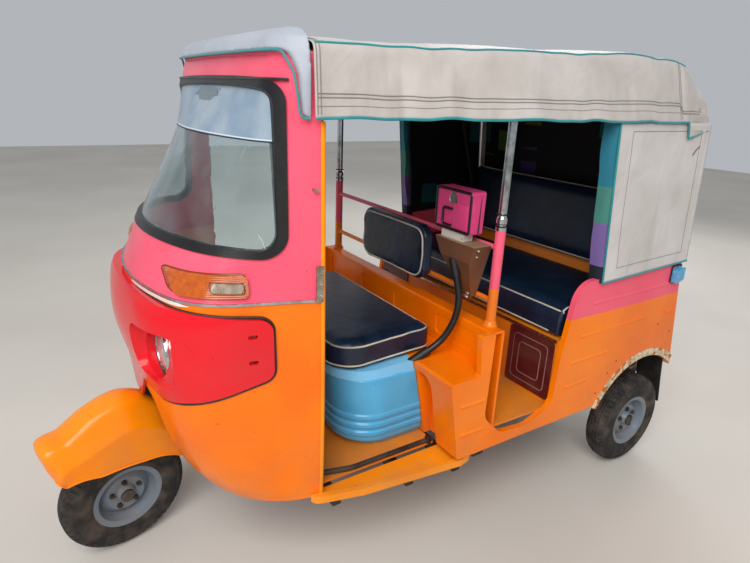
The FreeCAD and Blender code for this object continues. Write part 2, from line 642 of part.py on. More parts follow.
cushion = plan_prism([(-410, 612, 110), (410, 612, 110), (378, 1046, 50), (-378, 1046, 50)],
                     SEAT_TOP_Z + PIN_GAP, SEAT_TOP_Z + 107)
cushion = cushion.common(side_prism([(600, SEAT_TOP_Z, 0), (1060, SEAT_TOP_Z, 0), (1060, 764, 40),
                                     (612, 776, 40), (606, 700, 30)], -500, 500))
NODES["driver_cushion"] = one_solid(cushion)

BAR_FRONT_S = POST_S - BAR_TUBE_RADIUS - PIN_GAP
backrest = front_prism([(-232, 866, 60), (232, 866, 60), (232, 1102, 60), (-232, 1102, 60)],
                       1080, BAR_FRONT_S)
NODES["driver_backrest"] = backrest

# Passenger bench
bench = side_prism(bent_sheet([(BENCH_FRONT_S, RAIL_TOP_Z), (BENCH_FRONT_S, BENCH_TOP_Z),
                               (BENCH_REAR_S, BENCH_TOP_Z), (SHELF_S, SHELF_Z),
                               (SHELF_S + 66, SHELF_Z)], SHEET),
                   -TUB_REAR_X, TUB_REAR_X).common(inner_plan)
for house in (wheelhouse, mirrored(wheelhouse)):
    bench = bench.cut(house)
NODES["bench_base"] = one_solid(bench)

panel_profile = [(360, 448, 12), (582, 448, 12), (582, 690, 12), (360, 690, 12)]
access = front_prism(panel_profile, BENCH_FRONT_S - 6, BENCH_FRONT_S)
for inset, depth in ((26, 2), (56, 4)):
    ring = front_prism([(360 + inset, 448 + inset, 16), (582 - inset, 448 + inset, 16),
                        (582 - inset, 690 - inset, 16), (360 + inset, 690 - inset, 16)],
                       BENCH_FRONT_S - 6 - 1, BENCH_FRONT_S - 6 + depth / 2)
    access = access.cut(ring)
NODES["access_panels"] = both_sides(one_solid(access))


def bench_panel_s(z):
    """The leaning panel's front face behind the bench, at height z."""
    return BENCH_REAR_S + (z - BENCH_TOP_Z) * (SHELF_S - BENCH_REAR_S) / (SHELF_Z - BENCH_TOP_Z)


cushion_foot = BENCH_TOP_Z + PIN_GAP
soft_plan = tub_prism(TUB_WALL + 4, 290, 1300)
bench_cushion = side_prism([(BENCH_FRONT_S - 14, cushion_foot, 8),
                            (bench_panel_s(cushion_foot) - PIN_GAP, cushion_foot, 0),
                            (bench_panel_s(826) - PIN_GAP, 826, 20), (BENCH_FRONT_S - 4, 838, 46),
                            (BENCH_FRONT_S - 16, 770, 30)], -TUB_REAR_X, TUB_REAR_X)
NODES["bench_cushion"] = one_solid(bench_cushion.common(soft_plan))

back_foot = 836.0
back_head = bench_panel_s(SHELF_Z) - PIN_GAP
bench_back = side_prism([(BENCH_REAR_S - 10, back_foot + 12, 12),
                         (bench_panel_s(back_foot) - PIN_GAP, back_foot, 6),
                         (back_head, SHELF_Z, 0), (back_head + 54, 1190, 30), (SHELF_S - 8, 1210, 30)],
                        -BACK_HALF_WIDTH, BACK_HALF_WIDTH)
NODES["bench_back"] = bench_back

# Canopy: hoops and side rails, the roof cloth, its quarter panels, rear curtain and front visor
# s, z of the crown, x and z of the shoulder, x and z of the lower edge
CANOPY_ROWS = [
    (CANOPY_FRONT_S, 1702, 512, 1662, 526, 1487),
    (POST_S, 1718, 575, 1684, CANOPY_EDGE_X, CANOPY_EDGE_Z),
    (WHEELBASE - 120, 1726, 585, 1698, CANOPY_EDGE_X, 1491),
    (WHEELBASE - 74, 1719, 590, 1686, CANOPY_EDGE_X, 1490),
    (WHEELBASE - 54, 1712, 592, 1676, CANOPY_EDGE_X, 1430),
    (WHEELBASE + 5, 1678, 596, 1634, CANOPY_EDGE_X, 1443),
    (WHEELBASE + 80, 1612, 600, 1584, CANOPY_EDGE_X - 5, 1462),
    (WHEELBASE + 108, 1562, 596, 1536, CANOPY_EDGE_X - 13, 1468),
]


def canopy_at(s):
    """The cloth's crown and shoulder between the rows, for what carries it."""
    for before, after in zip(CANOPY_ROWS, CANOPY_ROWS[1:]):
        if before[0] <= s <= after[0]:
            share = (s - before[0]) / (after[0] - before[0])
            return [p + (q - p) * share for p, q in zip(before[1:4], after[1:4])]


def canopy_wire(row, cloth):
    """A cross section of the cloth: over the roof and down both sides, and back on its inside."""
    s, z_top, x_shoulder, z_shoulder, x_edge, z_edge = row
    outer = [at(-x_edge, s, z_edge), at(-x_shoulder, s, z_shoulder), at(0, s, z_top),
             at(x_shoulder, s, z_shoulder), at(x_edge, s, z_edge)]
    inner = [at(x_edge - cloth, s, z_edge), at(x_shoulder - cloth, s, z_shoulder - cloth * 0.7),
             at(0, s, z_top - cloth), at(-x_shoulder + cloth, s, z_shoulder - cloth * 0.7),
             at(-x_edge + cloth, s, z_edge)]
    return Part.Wire([
        line(outer[0], outer[1]), arc(outer[1], outer[2], outer[3]), line(outer[3], outer[4]),
        line(outer[4], inner[0]), line(inner[0], inner[1]), arc(inner[1], inner[2], inner[3]),
        line(inner[3], inner[4]), line(inner[4], outer[0])])


canopy = Part.makeLoft([canopy_wire(r, CANOPY_CLOTH) for r in CANOPY_ROWS], True, True)
NODES["canopy_roof"] = canopy

# The visor is the roof's padded front edge, wrapped round the top of the cab
# z, how far its plan stands outside the cab's plan
VISOR_ROWS = [(1480, 18), (1575, 21), (CAB_TOP_Z, 18), (1674, 6), (1692, -20), (1702, -64)]
VISOR_PADDING = 10.0


def cab_row(z):
    """The screen's plan at height z, between its rows and the same above the highest."""
    for before, after in zip(SCREEN_ROWS, SCREEN_ROWS[1:]):
        if before[0] <= z <= after[0]:
            share = (z - before[0]) / (after[0] - before[0])
            return tuple(p + (q - p) * share for p, q in zip(before, after))
    return (z,) + SCREEN_ROWS[-1][1:]


def visor_form(padding, rear_s):
    """The visor's form, or its hollow where the padding is taken off all round and on top."""
    wires = [cab_wire(cab_row(z - padding), padding - proud, rear_s) for z, proud in VISOR_ROWS]
    return Part.makeLoft(wires, True, True)


visor_edge = side_prism([(CANOPY_FRONT_S, 1484, 0), (458, 1486, 16), (450, 1590, 40), (434, 1641, 20),
                         (340, 1641, 0), (340, 1720, 0), (CANOPY_FRONT_S, 1720, 0)], -600, 600)
visor = visor_form(0, DOOR_S + 60).cut(SCREEN_OUTER)
hollow = visor_form(VISOR_PADDING, DOOR_S + 90).common(block(-600, 600, 0, 700, CAB_TOP_Z, 1800))
visor = visor.cut(hollow).common(visor_edge)
NODES["canopy_visor"] = one_solid(visor)

quarter = side_prism([(QUARTER_FRONT_S + 32, 921, 6), (WHEELBASE + 146, 938, 6),
                      (WHEELBASE + 100, 1488, 0),
                      (QUARTER_FRONT_S - 26, 1488, 0)], TUB_REAR_X + PIN_GAP,
                     TUB_REAR_X + PIN_GAP + QUARTER_THICKNESS)
quarter = max(quarter.cut(canopy).Solids, key=lambda piece: piece.Volume)
NODES["canopy_quarters"] = both_sides(quarter)

curtain = side_prism(bent_sheet([(rear_face_s(936) + PIN_GAP, 936), (WHEELBASE + 92, 1620)],
                                QUARTER_THICKNESS),
                     -TUB_REAR_X, TUB_REAR_X).cut(canopy)
NODES["rear_curtain"] = min(curtain.Solids, key=lambda piece: piece.BoundBox.ZMin)


def hoop(s, x_foot):
    """Two upright legs, tangent corners and a crown that follows the inside of the cloth."""
    z_top, x_shoulder, z_shoulder = canopy_at(s)
    rise = z_top - z_shoulder
    cloth_radius = (x_shoulder ** 2 + rise ** 2) / (2 * rise)
    crown_radius = cloth_radius - CANOPY_CLOTH - HOOP_RADIUS - PIN_GAP
    middle_z = z_top - cloth_radius
    x_corner = x_foot - HOOP_CORNER
    reach = crown_radius - HOOP_CORNER
    z_corner = middle_z + math.sqrt(reach ** 2 - x_corner ** 2)
    tilt = math.asin(x_corner / reach)
    edges = []
    for side in (-1, 1):
        leg_top = at(side * x_foot, s, z_corner)
        crown_end = at(side * crown_radius * math.sin(tilt), s, middle_z + crown_radius * math.cos(tilt))
        half = (math.pi / 2 + tilt) / 2
        corner_mid = at(side * (x_corner + HOOP_CORNER * math.sin(half)), s,
                        z_corner + HOOP_CORNER * math.cos(half))
        run = [line(at(side * x_foot, s, HOOP_FOOT_Z), leg_top), arc(leg_top, corner_mid, crown_end)]
        edges += run if side < 0 else run[::-1]
        if side < 0:
            other_end = V(-crown_end.x, crown_end.y, crown_end.z)
            edges.append(arc(crown_end, at(0, s, middle_z + crown_radius), other_end))
    circle = Part.makeCircle(HOOP_RADIUS, at(-x_foot, s, HOOP_FOOT_Z), V(0, 0, 1))
    return Part.Wire(edges).makePipe(Part.Face(Part.Wire(circle)))


FRONT_HOOP_S = DOOR_S + HOOP_RADIUS + PIN_GAP
POST_HOOP_X = POST_X + CHROME_RADIUS + HOOP_RADIUS + PIN_GAP
# s and x of each hoop's feet; the first stands behind the cab's rear edge
HOOPS = [(FRONT_HOOP_S, 486), (POST_S, POST_HOOP_X), (WHEELBASE - 380, 568), (WHEELBASE - 120, 574)]
frame = None
for s, x_foot in HOOPS:
    frame = hoop(s, x_foot) if frame is None else frame.fuse(hoop(s, x_foot))
for side in (-1, 1):
    for (s0, x0), (s1, x1) in zip(HOOPS, HOOPS[1:]):
        frame = frame.fuse(rod(at(side * x0, s0, HOOP_FOOT_Z), at(side * x1, s1, HOOP_FOOT_Z), HOOP_RADIUS))
    for s, x in HOOPS:
        frame = frame.fuse(Part.makeSphere(HOOP_RADIUS, at(side * x, s, HOOP_FOOT_Z)))
    last_s, last_x = HOOPS[-1]
    prop = rod(at(side * last_x, last_s, HOOP_FOOT_Z),
               at(side * last_x, SHELF_S + 36, SHELF_Z - 10), HOOP_RADIUS)
    frame = frame.fuse(prop)
frame = frame.cut(block(-700, 700, SHELF_S, BEHIND_S, SHELF_Z - 60, SHELF_Z))
NODES["canopy_frame"] = one_solid(frame)

# Fare meter on its wedge bracket, with the hose that runs down to the seat base
bracket = front_prism([(313, 1090, 4), (515, 1090, 4), (462, 892, 8), (436, 892, 8)], 1052, BAR_FRONT_S)
bracket = bracket.cut(side_prism([(1040, 1060, 0), (1112, 880, 0), (1040, 880, 0)], 300, 530))
NODES["meter_bracket"] = one_solid(bracket)
meter_base = block(330, 440, 1066, 1110, 1090, 1118)
meter_body = front_prism([(296, 1118, 8), (474, 1118, 8), (478, 1262, 10), (300, 1262, 10)], 1060, 1118)
meter = meter_body.fuse(meter_base)
NODES["fare_meter"] = one_solid(meter)

# Engine, rear suspension, bumper and flaps
engine = block(-190, 190, WHEELBASE - 100, WHEELBASE + 130, 200, 560)
engine = engine.fuse(block(-230, 230, WHEELBASE - 20, WHEELBASE + 60, 300, 350))
NODES["engine_block"] = one_solid(engine)

WHEEL_X = REAR_TRACK / 2
ARM_X = WHEEL_X - 140
ARM_PIVOT_S = WHEELBASE - 310
arm = rod(at(RAIL_X + RAIL_WIDTH / 2, ARM_PIVOT_S, 320), at(ARM_X + 30, ARM_PIVOT_S, 320), 22)
arm = arm.fuse(rod(at(ARM_X, ARM_PIVOT_S, 320), at(ARM_X, WHEELBASE, TYRE_RADIUS), 24))
arm = arm.fuse(rod(at(190, WHEELBASE, TYRE_RADIUS),
                   at(WHEEL_X - DRUM_REACH - PIN_GAP, WHEELBASE, TYRE_RADIUS), 17))
arm = arm.fuse(rod(at(ARM_X, WHEELBASE - 30, 232), at(ARM_X, WHEELBASE - 30, 524), 20))
NODES["rear_suspension"] = both_sides(one_solid(arm))

bumper_z = RAIL_TOP_Z - 25
bumper_s = RAIL_REAR_S + 105
NODES["rear_bumper"] = tube([at(-460, RAIL_REAR_S, bumper_z), at(-460, bumper_s, bumper_z),
                             at(460, bumper_s, bumper_z), at(460, RAIL_REAR_S, bumper_z)], 16, 60)
flap = side_prism(bent_sheet([(WHEELBASE + 192, 480), (WHEELBASE + 212, 366), (WHEELBASE + 240, 228)], 6),
                  ARCH_INNER_X + 6, 606)
flap = flap.common(rod(at(ARCH_INNER_X - 82, WHEELBASE, TYRE_RADIUS), at(700, WHEELBASE, TYRE_RADIUS),
                       ARCH_RADIUS - PIN_GAP))
NODES["mud_flaps"] = both_sides(one_solid(flap))

tail_lamp = side_prism([(rear_face_s(470), 470, 0), (rear_face_s(470) + 36, 470, 8),
                        (rear_face_s(570) + 36, 570, 8), (rear_face_s(570), 570, 0)], 500, 552)
side_lamp = side_prism([(WHEELBASE + 70, 850, 8), (WHEELBASE + 126, 862, 8), (WHEELBASE + 122, 920, 8),
                        (WHEELBASE + 66, 906, 8)],
                       TUB_REAR_X - 1, TUB_REAR_X + 25)
side_lamp = side_lamp.cut(outer_plan).cut(left_side)
NODES["rear_lamps"] = Part.makeCompound(
    [tail_lamp, mirrored(tail_lamp), one_solid(side_lamp), mirrored(one_solid(side_lamp))])

# Pedals by the column
pedal = tube([at(-150, 470, DRIVER_FLOOR_Z), at(-150, 440, 430), at(-150, 452, 470)], 7, 16)
pedal = pedal.fuse(block(-190, -110, 446, 458, 450, 494))
NODES["pedals"] = one_solid(pedal.cut(NODES["floor_pan"]))

# Wheels. The tyre's half section: radius, distance from its middle plane
TYRE_SECTION = [(RIM_RADIUS, TYRE_HALF_WIDTH - 8), (RIM_RADIUS + 16, TYRE_HALF_WIDTH - 2),
                (RIM_RADIUS + 44, TYRE_HALF_WIDTH), (TYRE_RADIUS - 20, TYRE_HALF_WIDTH - 5),
                (TYRE_RADIUS - 7, TYRE_HALF_WIDTH - 15), (TYRE_RADIUS, TREAD_HALF_WIDTH)]
# The disc wheel and its drum: radius, distance outwards along the axle
RIM_SECTION = [(0, 34), (26, 34), (HUB_RADIUS, 16), (62, 20), (86, 0), (98, 38),
               (RIM_RADIUS, RIM_HALF_WIDTH - 3), (RIM_RADIUS, -RIM_HALF_WIDTH + 3), (96, -34), (92, -8),
               (DRUM_RADIUS, -8), (DRUM_RADIUS, -DRUM_REACH), (0, -DRUM_REACH)]


def tyre_at(centre):
    """A round-shouldered tyre on its axle along X."""
    section = TYRE_SECTION + [(r, -x) for r, x in reversed(TYRE_SECTION)]
    return turned(section, centre, V(1, 0, 0), V(0, 0, 1))


def rim_at(centre, outward):
    """A pressed disc wheel with its drum behind; outward is the unit vector along the axle."""
    return turned(RIM_SECTION, centre, outward, V(0, 0, 1))


for name, side in (("left", 1), ("right", -1)):
    centre = at(side * WHEEL_X, WHEELBASE, TYRE_RADIUS)
    NODES["rear_tyre_" + name] = tyre_at(centre)
    NODES["rear_rim_" + name] = rim_at(centre, V(side, 0, 0))

# Front end, drawn straight ahead and then turned about the raked axis as it is parked
front = {}
front["front_tyre"] = tyre_at(WHEEL_CENTRE)
front["front_rim"] = rim_at(WHEEL_CENTRE, V(1, 0, 0))

# angle from dead ahead (degrees), radius at the crown, at the crease and at the lower edge
FENDER_ROWS = [
    (44, 304, 292, 262),
    (51, 380, 302, 236),
    (62, 362, 286, 192),
    (77, 380, 284, 172),
    (93, 395, 298, 164),
    (108, 372, 290, 166),
    (126, 318, 268, 184),
    (150, 246, 232, 214),
]
FENDER_HALF = 88.0
FENDER_SHEET = 5.0


def fender_wire(row):
    angle, crown, crease, low = row
    t = math.radians(angle)

    def p(x, radius):
        return WHEEL_CENTRE + V(x, -radius * math.cos(t), radius * math.sin(t))

    top_x, drop, g = 50.0, 12.0, FENDER_SHEET
    h = FENDER_HALF
    return Part.Wire([
        line(p(-h, low), p(-h, crease)), line(p(-h, crease), p(-top_x, crown - drop)),
        arc(p(-top_x, crown - drop), p(0, crown), p(top_x, crown - drop)),
        line(p(top_x, crown - drop), p(h, crease)), line(p(h, crease), p(h, low)),
        line(p(h, low), p(h - g, low)), line(p(h - g, low), p(h - g, crease - g / 2)),
        line(p(h - g, crease - g / 2), p(top_x - g / 2, crown - drop - g)),
        arc(p(top_x - g / 2, crown - drop - g), p(0, crown - g), p(-top_x + g / 2, crown - drop - g)),
        line(p(-top_x + g / 2, crown - drop - g), p(-h + g, crease - g / 2)),
        line(p(-h + g, crease - g / 2), p(-h + g, low)), line(p(-h + g, low), p(-h, low))])


fender = Part.makeLoft([fender_wire(r) for r in FENDER_ROWS], True, True)
column = rod(on_axis(COLUMN_FOOT), on_axis(COLUMN_HEAD), COLUMN_RADIUS)
front["front_fender"] = one_solid(fender.cut(column))

ARM_INNER_X = -TYRE_HALF_WIDTH - 7
ARM_OUTER_X = ARM_INNER_X - 22
CROWN_FOOT_Z = 444.0
CROWN_HEAD_Z = 490.0
crown_block = block(ARM_OUTER_X + 16, 30, 62, 112, CROWN_FOOT_Z, CROWN_HEAD_Z)
fork_arm = side_prism([(-30, 180, 24), (30, 180, 24), (114, 440, 10), (112, 458, 6), (64, 458, 6),
                       (56, 420, 30)], ARM_OUTER_X, ARM_INNER_X)
stub = rod(at(ARM_INNER_X, 0, FRONT_AXLE_Z), at(-DRUM_REACH - PIN_GAP, 0, FRONT_AXLE_Z), STUB_RADIUS)
front["front_fork"] = one_solid(crown_block.fuse(fork_arm).fuse(stub).fuse(column))

head = on_axis(COLUMN_HEAD + 22)
sweep_s = math.sin(GRIP_SWEEP)
sweep_x = math.cos(GRIP_SWEEP)


def on_grip(side, distance):
    return head + V(side * (40 + distance * sweep_x), distance * sweep_s, 0)


handlebar = rod(on_axis(COLUMN_HEAD), on_axis(COLUMN_HEAD + 44), COLUMN_RADIUS + 5)
for side in (-1, 1):
    handlebar = handlebar.fuse(rod(head, on_grip(side, 0), BAR_RADIUS))
    handlebar = handlebar.fuse(Part.makeSphere(BAR_RADIUS, on_grip(side, 0)))
    handlebar = handlebar.fuse(rod(on_grip(side, 0), on_grip(side, GRIP_REACH - 40), BAR_RADIUS))
    handlebar = handlebar.fuse(
        rod(on_grip(side, GRIP_REACH - 160), on_grip(side, GRIP_REACH - 40), GRIP_RADIUS))
front["handlebar"] = one_solid(handlebar)

for name, shape in front.items():
    shape.rotate(WHEEL_CENTRE, AXIS, PARKED_TURN)
    NODES[name] = shape

# The hose from the meter's bracket to the step box hangs in one bow between two glands
HOSE_RADIUS = 12.0
HOSE_ROUTE = [(430, 1062, 970), (445, 1067, 919), (451, 1066, 868), (444, 1062, 815),
              (432, 1044, 760), (418, 1014, 716), (411, 980, 697)]
hose_points = [at(x, s, z) for x, s, z in HOSE_ROUTE]
NODES["meter_hose"] = tube(hose_points, HOSE_RADIUS)
GLAND_RADIUS = HOSE_RADIUS + 4
first_run = hose_points[0].sub(hose_points[1]).normalize()
last_run = hose_points[-1].sub(hose_points[-2]).normalize()
upper_gland = rod(hose_points[0], hose_points[0] + first_run * 60, GLAND_RADIUS).cut(
    NODES["meter_bracket"])
upper_gland = min(upper_gland.Solids, key=lambda piece: piece.distToShape(
    Part.Vertex(hose_points[0]))[0])
lower_gland = rod(hose_points[-1], hose_points[-1] + last_run * 80, GLAND_RADIUS).common(
    block(300, 500, 850, 1090, BOX_TOP_Z, 800)).cut(NODES["driver_cushion"])
NODES["hose_glands"] = Part.makeCompound([upper_gland, lower_gland])


for name, shape in NODES.items():
    shape.exportStep("parts/%s.step" % name)
    box = shape.optimalBoundingBox(False)
    print("%-18s %d solid(s) x %7.1f %7.1f y %8.1f %8.1f z %7.1f %7.1f valid %s" % (
        name, len(shape.Solids), box.XMin, box.XMax, box.YMin, box.YMax, box.ZMin, box.ZMax,
        shape.isValid()))
print("steering axis through", WHEEL_CENTRE, "direction", AXIS)
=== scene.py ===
"""A three-wheeled auto rickshaw: pressed steel cab and tub in orange and pink, a coated canvas
canopy, vinyl seats and a fare meter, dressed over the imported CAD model. Metres; the vehicle's front
faces -Y, its left is +X and Z is up."""
import json
import math

import bmesh
import bpy
import numpy as np
from mathutils import Matrix, Vector
from mathutils.bvhtree import BVHTree

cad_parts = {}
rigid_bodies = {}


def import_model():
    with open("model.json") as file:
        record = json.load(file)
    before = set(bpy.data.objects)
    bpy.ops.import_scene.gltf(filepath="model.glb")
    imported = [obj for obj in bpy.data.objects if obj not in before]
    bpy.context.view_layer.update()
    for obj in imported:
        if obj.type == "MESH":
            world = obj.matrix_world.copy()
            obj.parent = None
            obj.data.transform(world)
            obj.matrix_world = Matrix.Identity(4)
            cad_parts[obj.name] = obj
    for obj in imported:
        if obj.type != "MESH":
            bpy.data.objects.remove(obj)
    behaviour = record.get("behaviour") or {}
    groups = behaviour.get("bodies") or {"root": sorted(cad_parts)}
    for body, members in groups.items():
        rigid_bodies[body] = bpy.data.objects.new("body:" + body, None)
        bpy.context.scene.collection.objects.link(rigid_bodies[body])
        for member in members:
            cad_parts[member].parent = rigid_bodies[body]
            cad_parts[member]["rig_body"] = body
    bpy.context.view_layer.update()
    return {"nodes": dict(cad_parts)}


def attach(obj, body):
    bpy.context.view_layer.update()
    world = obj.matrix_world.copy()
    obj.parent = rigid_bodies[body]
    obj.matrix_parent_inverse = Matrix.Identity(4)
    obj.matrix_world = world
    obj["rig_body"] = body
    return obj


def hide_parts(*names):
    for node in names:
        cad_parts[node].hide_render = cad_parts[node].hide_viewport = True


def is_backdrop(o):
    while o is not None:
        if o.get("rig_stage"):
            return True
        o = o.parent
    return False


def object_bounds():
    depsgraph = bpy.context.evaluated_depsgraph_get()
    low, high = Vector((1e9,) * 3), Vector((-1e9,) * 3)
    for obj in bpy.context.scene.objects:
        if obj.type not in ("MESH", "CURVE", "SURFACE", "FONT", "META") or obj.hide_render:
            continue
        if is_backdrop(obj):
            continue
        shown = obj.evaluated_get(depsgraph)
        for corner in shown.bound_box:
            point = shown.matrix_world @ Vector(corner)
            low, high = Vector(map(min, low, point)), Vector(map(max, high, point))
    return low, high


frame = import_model()
nodes = frame["nodes"]

# Camera. It stands to the vehicle's front left at eye height and looks down along its left side.
# Distances along the vehicle are measured back from the front axle, as "s".
AXLE_Y = -1.035
CAMERA_PLACE = (1.774, -0.1495 + AXLE_Y, 1.5541)
CAMERA_YAW = math.radians(146.7735)
CAMERA_PITCH = math.radians(19.0625)
CAMERA_ROLL = math.radians(2.3418)


def camera_turn(yaw, pitch, roll):
    """The turn of a camera: it aims along yaw and pitch, level, and then rolls about its aim."""
    aim = Vector((math.cos(yaw) * math.cos(pitch), math.sin(yaw) * math.cos(pitch), -math.sin(pitch)))
    level = Vector((math.sin(yaw), -math.cos(yaw), 0))
    lift = level.cross(aim)
    right = math.cos(roll) * level + math.sin(roll) * lift
    up = -math.sin(roll) * level + math.cos(roll) * lift
    return Matrix((right, up, -aim)).transposed().to_4x4()


camera = bpy.data.objects.new("camera", bpy.data.cameras.new("camera"))
camera.data.sensor_width = 36.0
camera.data.lens = 26.366
camera.matrix_world = Matrix.Translation(CAMERA_PLACE) @ camera_turn(
    CAMERA_YAW, CAMERA_PITCH, CAMERA_ROLL)
bpy.context.scene.collection.objects.link(camera)
bpy.context.scene.camera = camera

# Meter hose. A black rubber hose from the fare meter's bracket down to the step box. It hangs in one
# bow between two glands, and its points are those of the CAD route.
HOSE_ROUTE = [(0.430, 1.062, 0.970), (0.445, 1.067, 0.919), (0.451, 1.066, 0.868),
              (0.444, 1.062, 0.815), (0.432, 1.044, 0.760), (0.418, 1.014, 0.716),
              (0.411, 0.980, 0.697)]
HOSE_DIAMETER = 0.024


def linear(hex_colour):
    """The linear colour, with alpha 1, of an sRGB hex value."""
    parts = [int(hex_colour[i:i + 2], 16) / 255 for i in (1, 3, 5)]
    return [c / 12.92 if c <= 0.04045 else ((c + 0.055) / 1.055) ** 2.4 for c in parts] + [1.0]


def add(tree, kind, sockets=None, **settings):
    """One shader node with its settings; sockets maps an input's name or number to a value or to
    the output that feeds it."""
    made = tree.nodes.new(kind)
    for name, value in settings.items():
        setattr(made, name, value)
    for name, value in (sockets or {}).items():
        if isinstance(value, bpy.types.NodeSocket):
            tree.links.new(value, made.inputs[name])
        else:
            made.inputs[name].default_value = value
    return made


def finish_of(name, roughness, metallic=0.0, **shader_values):
    """A new material with its node tree, its shader and its Object coordinates, for one finish."""
    material = bpy.data.materials.new(name)
    material.use_nodes = True
    tree = material.node_tree
    shader = tree.nodes["Principled BSDF"]
    shader.inputs["Roughness"].default_value = roughness
    shader.inputs["Metallic"].default_value = metallic
    for socket, value in shader_values.items():
        shader.inputs[socket.replace("_", " ")].default_value = value
    spot = add(tree, "ShaderNodeTexCoord").outputs["Object"]
    return material, tree, shader, spot


def mottled(tree, spot, first, second, patch, low=0.35, high=0.65, detail=4.0):
    """A colour that wanders between two hex colours in soft patches of that size in metres."""
    cloud = add(tree, "ShaderNodeTexNoise", {"Vector": spot, "Scale": 1 / patch, "Detail": detail})
    share = add(tree, "ShaderNodeMapRange", {0: cloud.outputs[0], 1: low, 2: high})
    return add(tree, "ShaderNodeMix", {0: share.outputs[0], 6: linear(first), 7: linear(second)},
               data_type="RGBA").outputs[2]


def roughened(tree, shader, spot, grain, height):
    """A bump of that grain and height, both in metres, on the shader."""
    cloud = add(tree, "ShaderNodeTexNoise", {"Vector": spot, "Scale": 1 / grain, "Detail": 3.0})
    bump = add(tree, "ShaderNodeBump", {"Height": cloud.outputs[0], "Distance": height})
    tree.links.new(bump.outputs[0], shader.inputs["Normal"])


def rubber(name, dark, dusty, roughness, grain=0.004):
    """Moulded black rubber: nearly black, greyed by dust in patches, with a soft wide highlight."""
    material, tree, shader, spot = finish_of(name, roughness, IOR=1.52)
    tree.links.new(mottled(tree, spot, dark, dusty, 0.05), shader.inputs["Base Color"])
    roughened(tree, shader, spot, grain, 0.0003)
    return material


hose_curve = bpy.data.curves.new("meter_hose_line", "CURVE")
hose_curve.dimensions = "3D"
hose_curve.bevel_depth = HOSE_DIAMETER / 2
hose_curve.bevel_resolution = 5
hose_curve.resolution_u = 12
hose_line = hose_curve.splines.new("NURBS")
hose_line.points.add(len(HOSE_ROUTE) - 1)
for point, (x, s, z) in zip(hose_line.points, HOSE_ROUTE):
    point.co = (x, s + AXLE_Y, z, 1)
hose_line.order_u = 3
hose_line.use_endpoint_u = True
meter_hose = bpy.data.objects.new("meter_hose_rubber", hose_curve)
bpy.context.scene.collection.objects.link(meter_hose)
hose_rubber = rubber("extruded_hose_rubber", "#0b0c0e", "#1d1e20", 0.42)
hose_curve.materials.append(hose_rubber)
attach(meter_hose, "root")
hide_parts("meter_hose")


def wear(name, *materials):
    """Gives a CAD node its materials, in the order of its slots."""
    mesh = nodes[name].data
    mesh.materials.clear()
    for material in materials:
        mesh.materials.append(material)


gland_rubber = rubber("moulded_gland_rubber", "#0a0a0b", "#19191a", 0.5)
wear("hose_glands", gland_rubber)

# Floor and light. A plain pale studio floor with one broad soft light from the front left and a
# weaker one from behind, under an even pale sky.
FLOOR_HALF = 14.0
floor_mesh = bpy.data.meshes.new("studio_floor")
floor_mesh.from_pydata([(-FLOOR_HALF, -FLOOR_HALF, 0), (FLOOR_HALF, -FLOOR_HALF, 0),
                        (FLOOR_HALF, FLOOR_HALF, 0), (-FLOOR_HALF, FLOOR_HALF, 0)], [], [(0, 1, 2, 3)])
studio_floor = bpy.data.objects.new("studio_floor", floor_mesh)
bpy.context.scene.collection.objects.link(studio_floor)
floor_paint, floor_tree, floor_shader, floor_spot = finish_of("matt_floor_paint", 0.85)
floor_tree.links.new(mottled(floor_tree, floor_spot, "#c9c2b8", "#d2ccc3", 1.5),
                     floor_shader.inputs["Base Color"])
floor_mesh.materials.append(floor_paint)
studio_floor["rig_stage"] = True

world = bpy.data.worlds.new("pale_sky")
world.use_nodes = True
SKY_STRENGTH = 0.60
sky = world.node_tree.nodes["Background"]
sky.inputs["Color"].default_value = linear("#dfe4ea")
sky.inputs["Strength"].default_value = SKY_STRENGTH
bpy.context.scene.world = world
bpy.context.scene.view_settings.view_transform = "Standard"


def soft_light(name, place, aim, size, power):
    """A square area light of that size, at a place and turned to face its aim."""
    lamp = bpy.data.lights.new(name, "AREA")
    lamp.size = size
    lamp.energy = power
    holder = bpy.data.objects.new(name, lamp)
    holder.matrix_world = Matrix.Translation(place) @ (
        Vector(aim) - Vector(place)).to_track_quat("-Z", "Y").to_matrix().to_4x4()
    bpy.context.scene.collection.objects.link(holder)


soft_light("key_light", (3.4, -3.2, 4.6), aim=(0, 0, 0.8), size=4.0, power=325)
soft_light("rear_light", (-2.5, 4.5, 4.0), aim=(0, 0, 0.9), size=4.0, power=140)

# Cab. Pressed steel panels, brush-painted in orange up to the belt and in salmon pink above it. The
# enamel has faded in patches, is chipped in places and carries road dust near the ground.
ROAD_DUST = "#9c7552"
CHIP_BROWN = "#4a2f20"


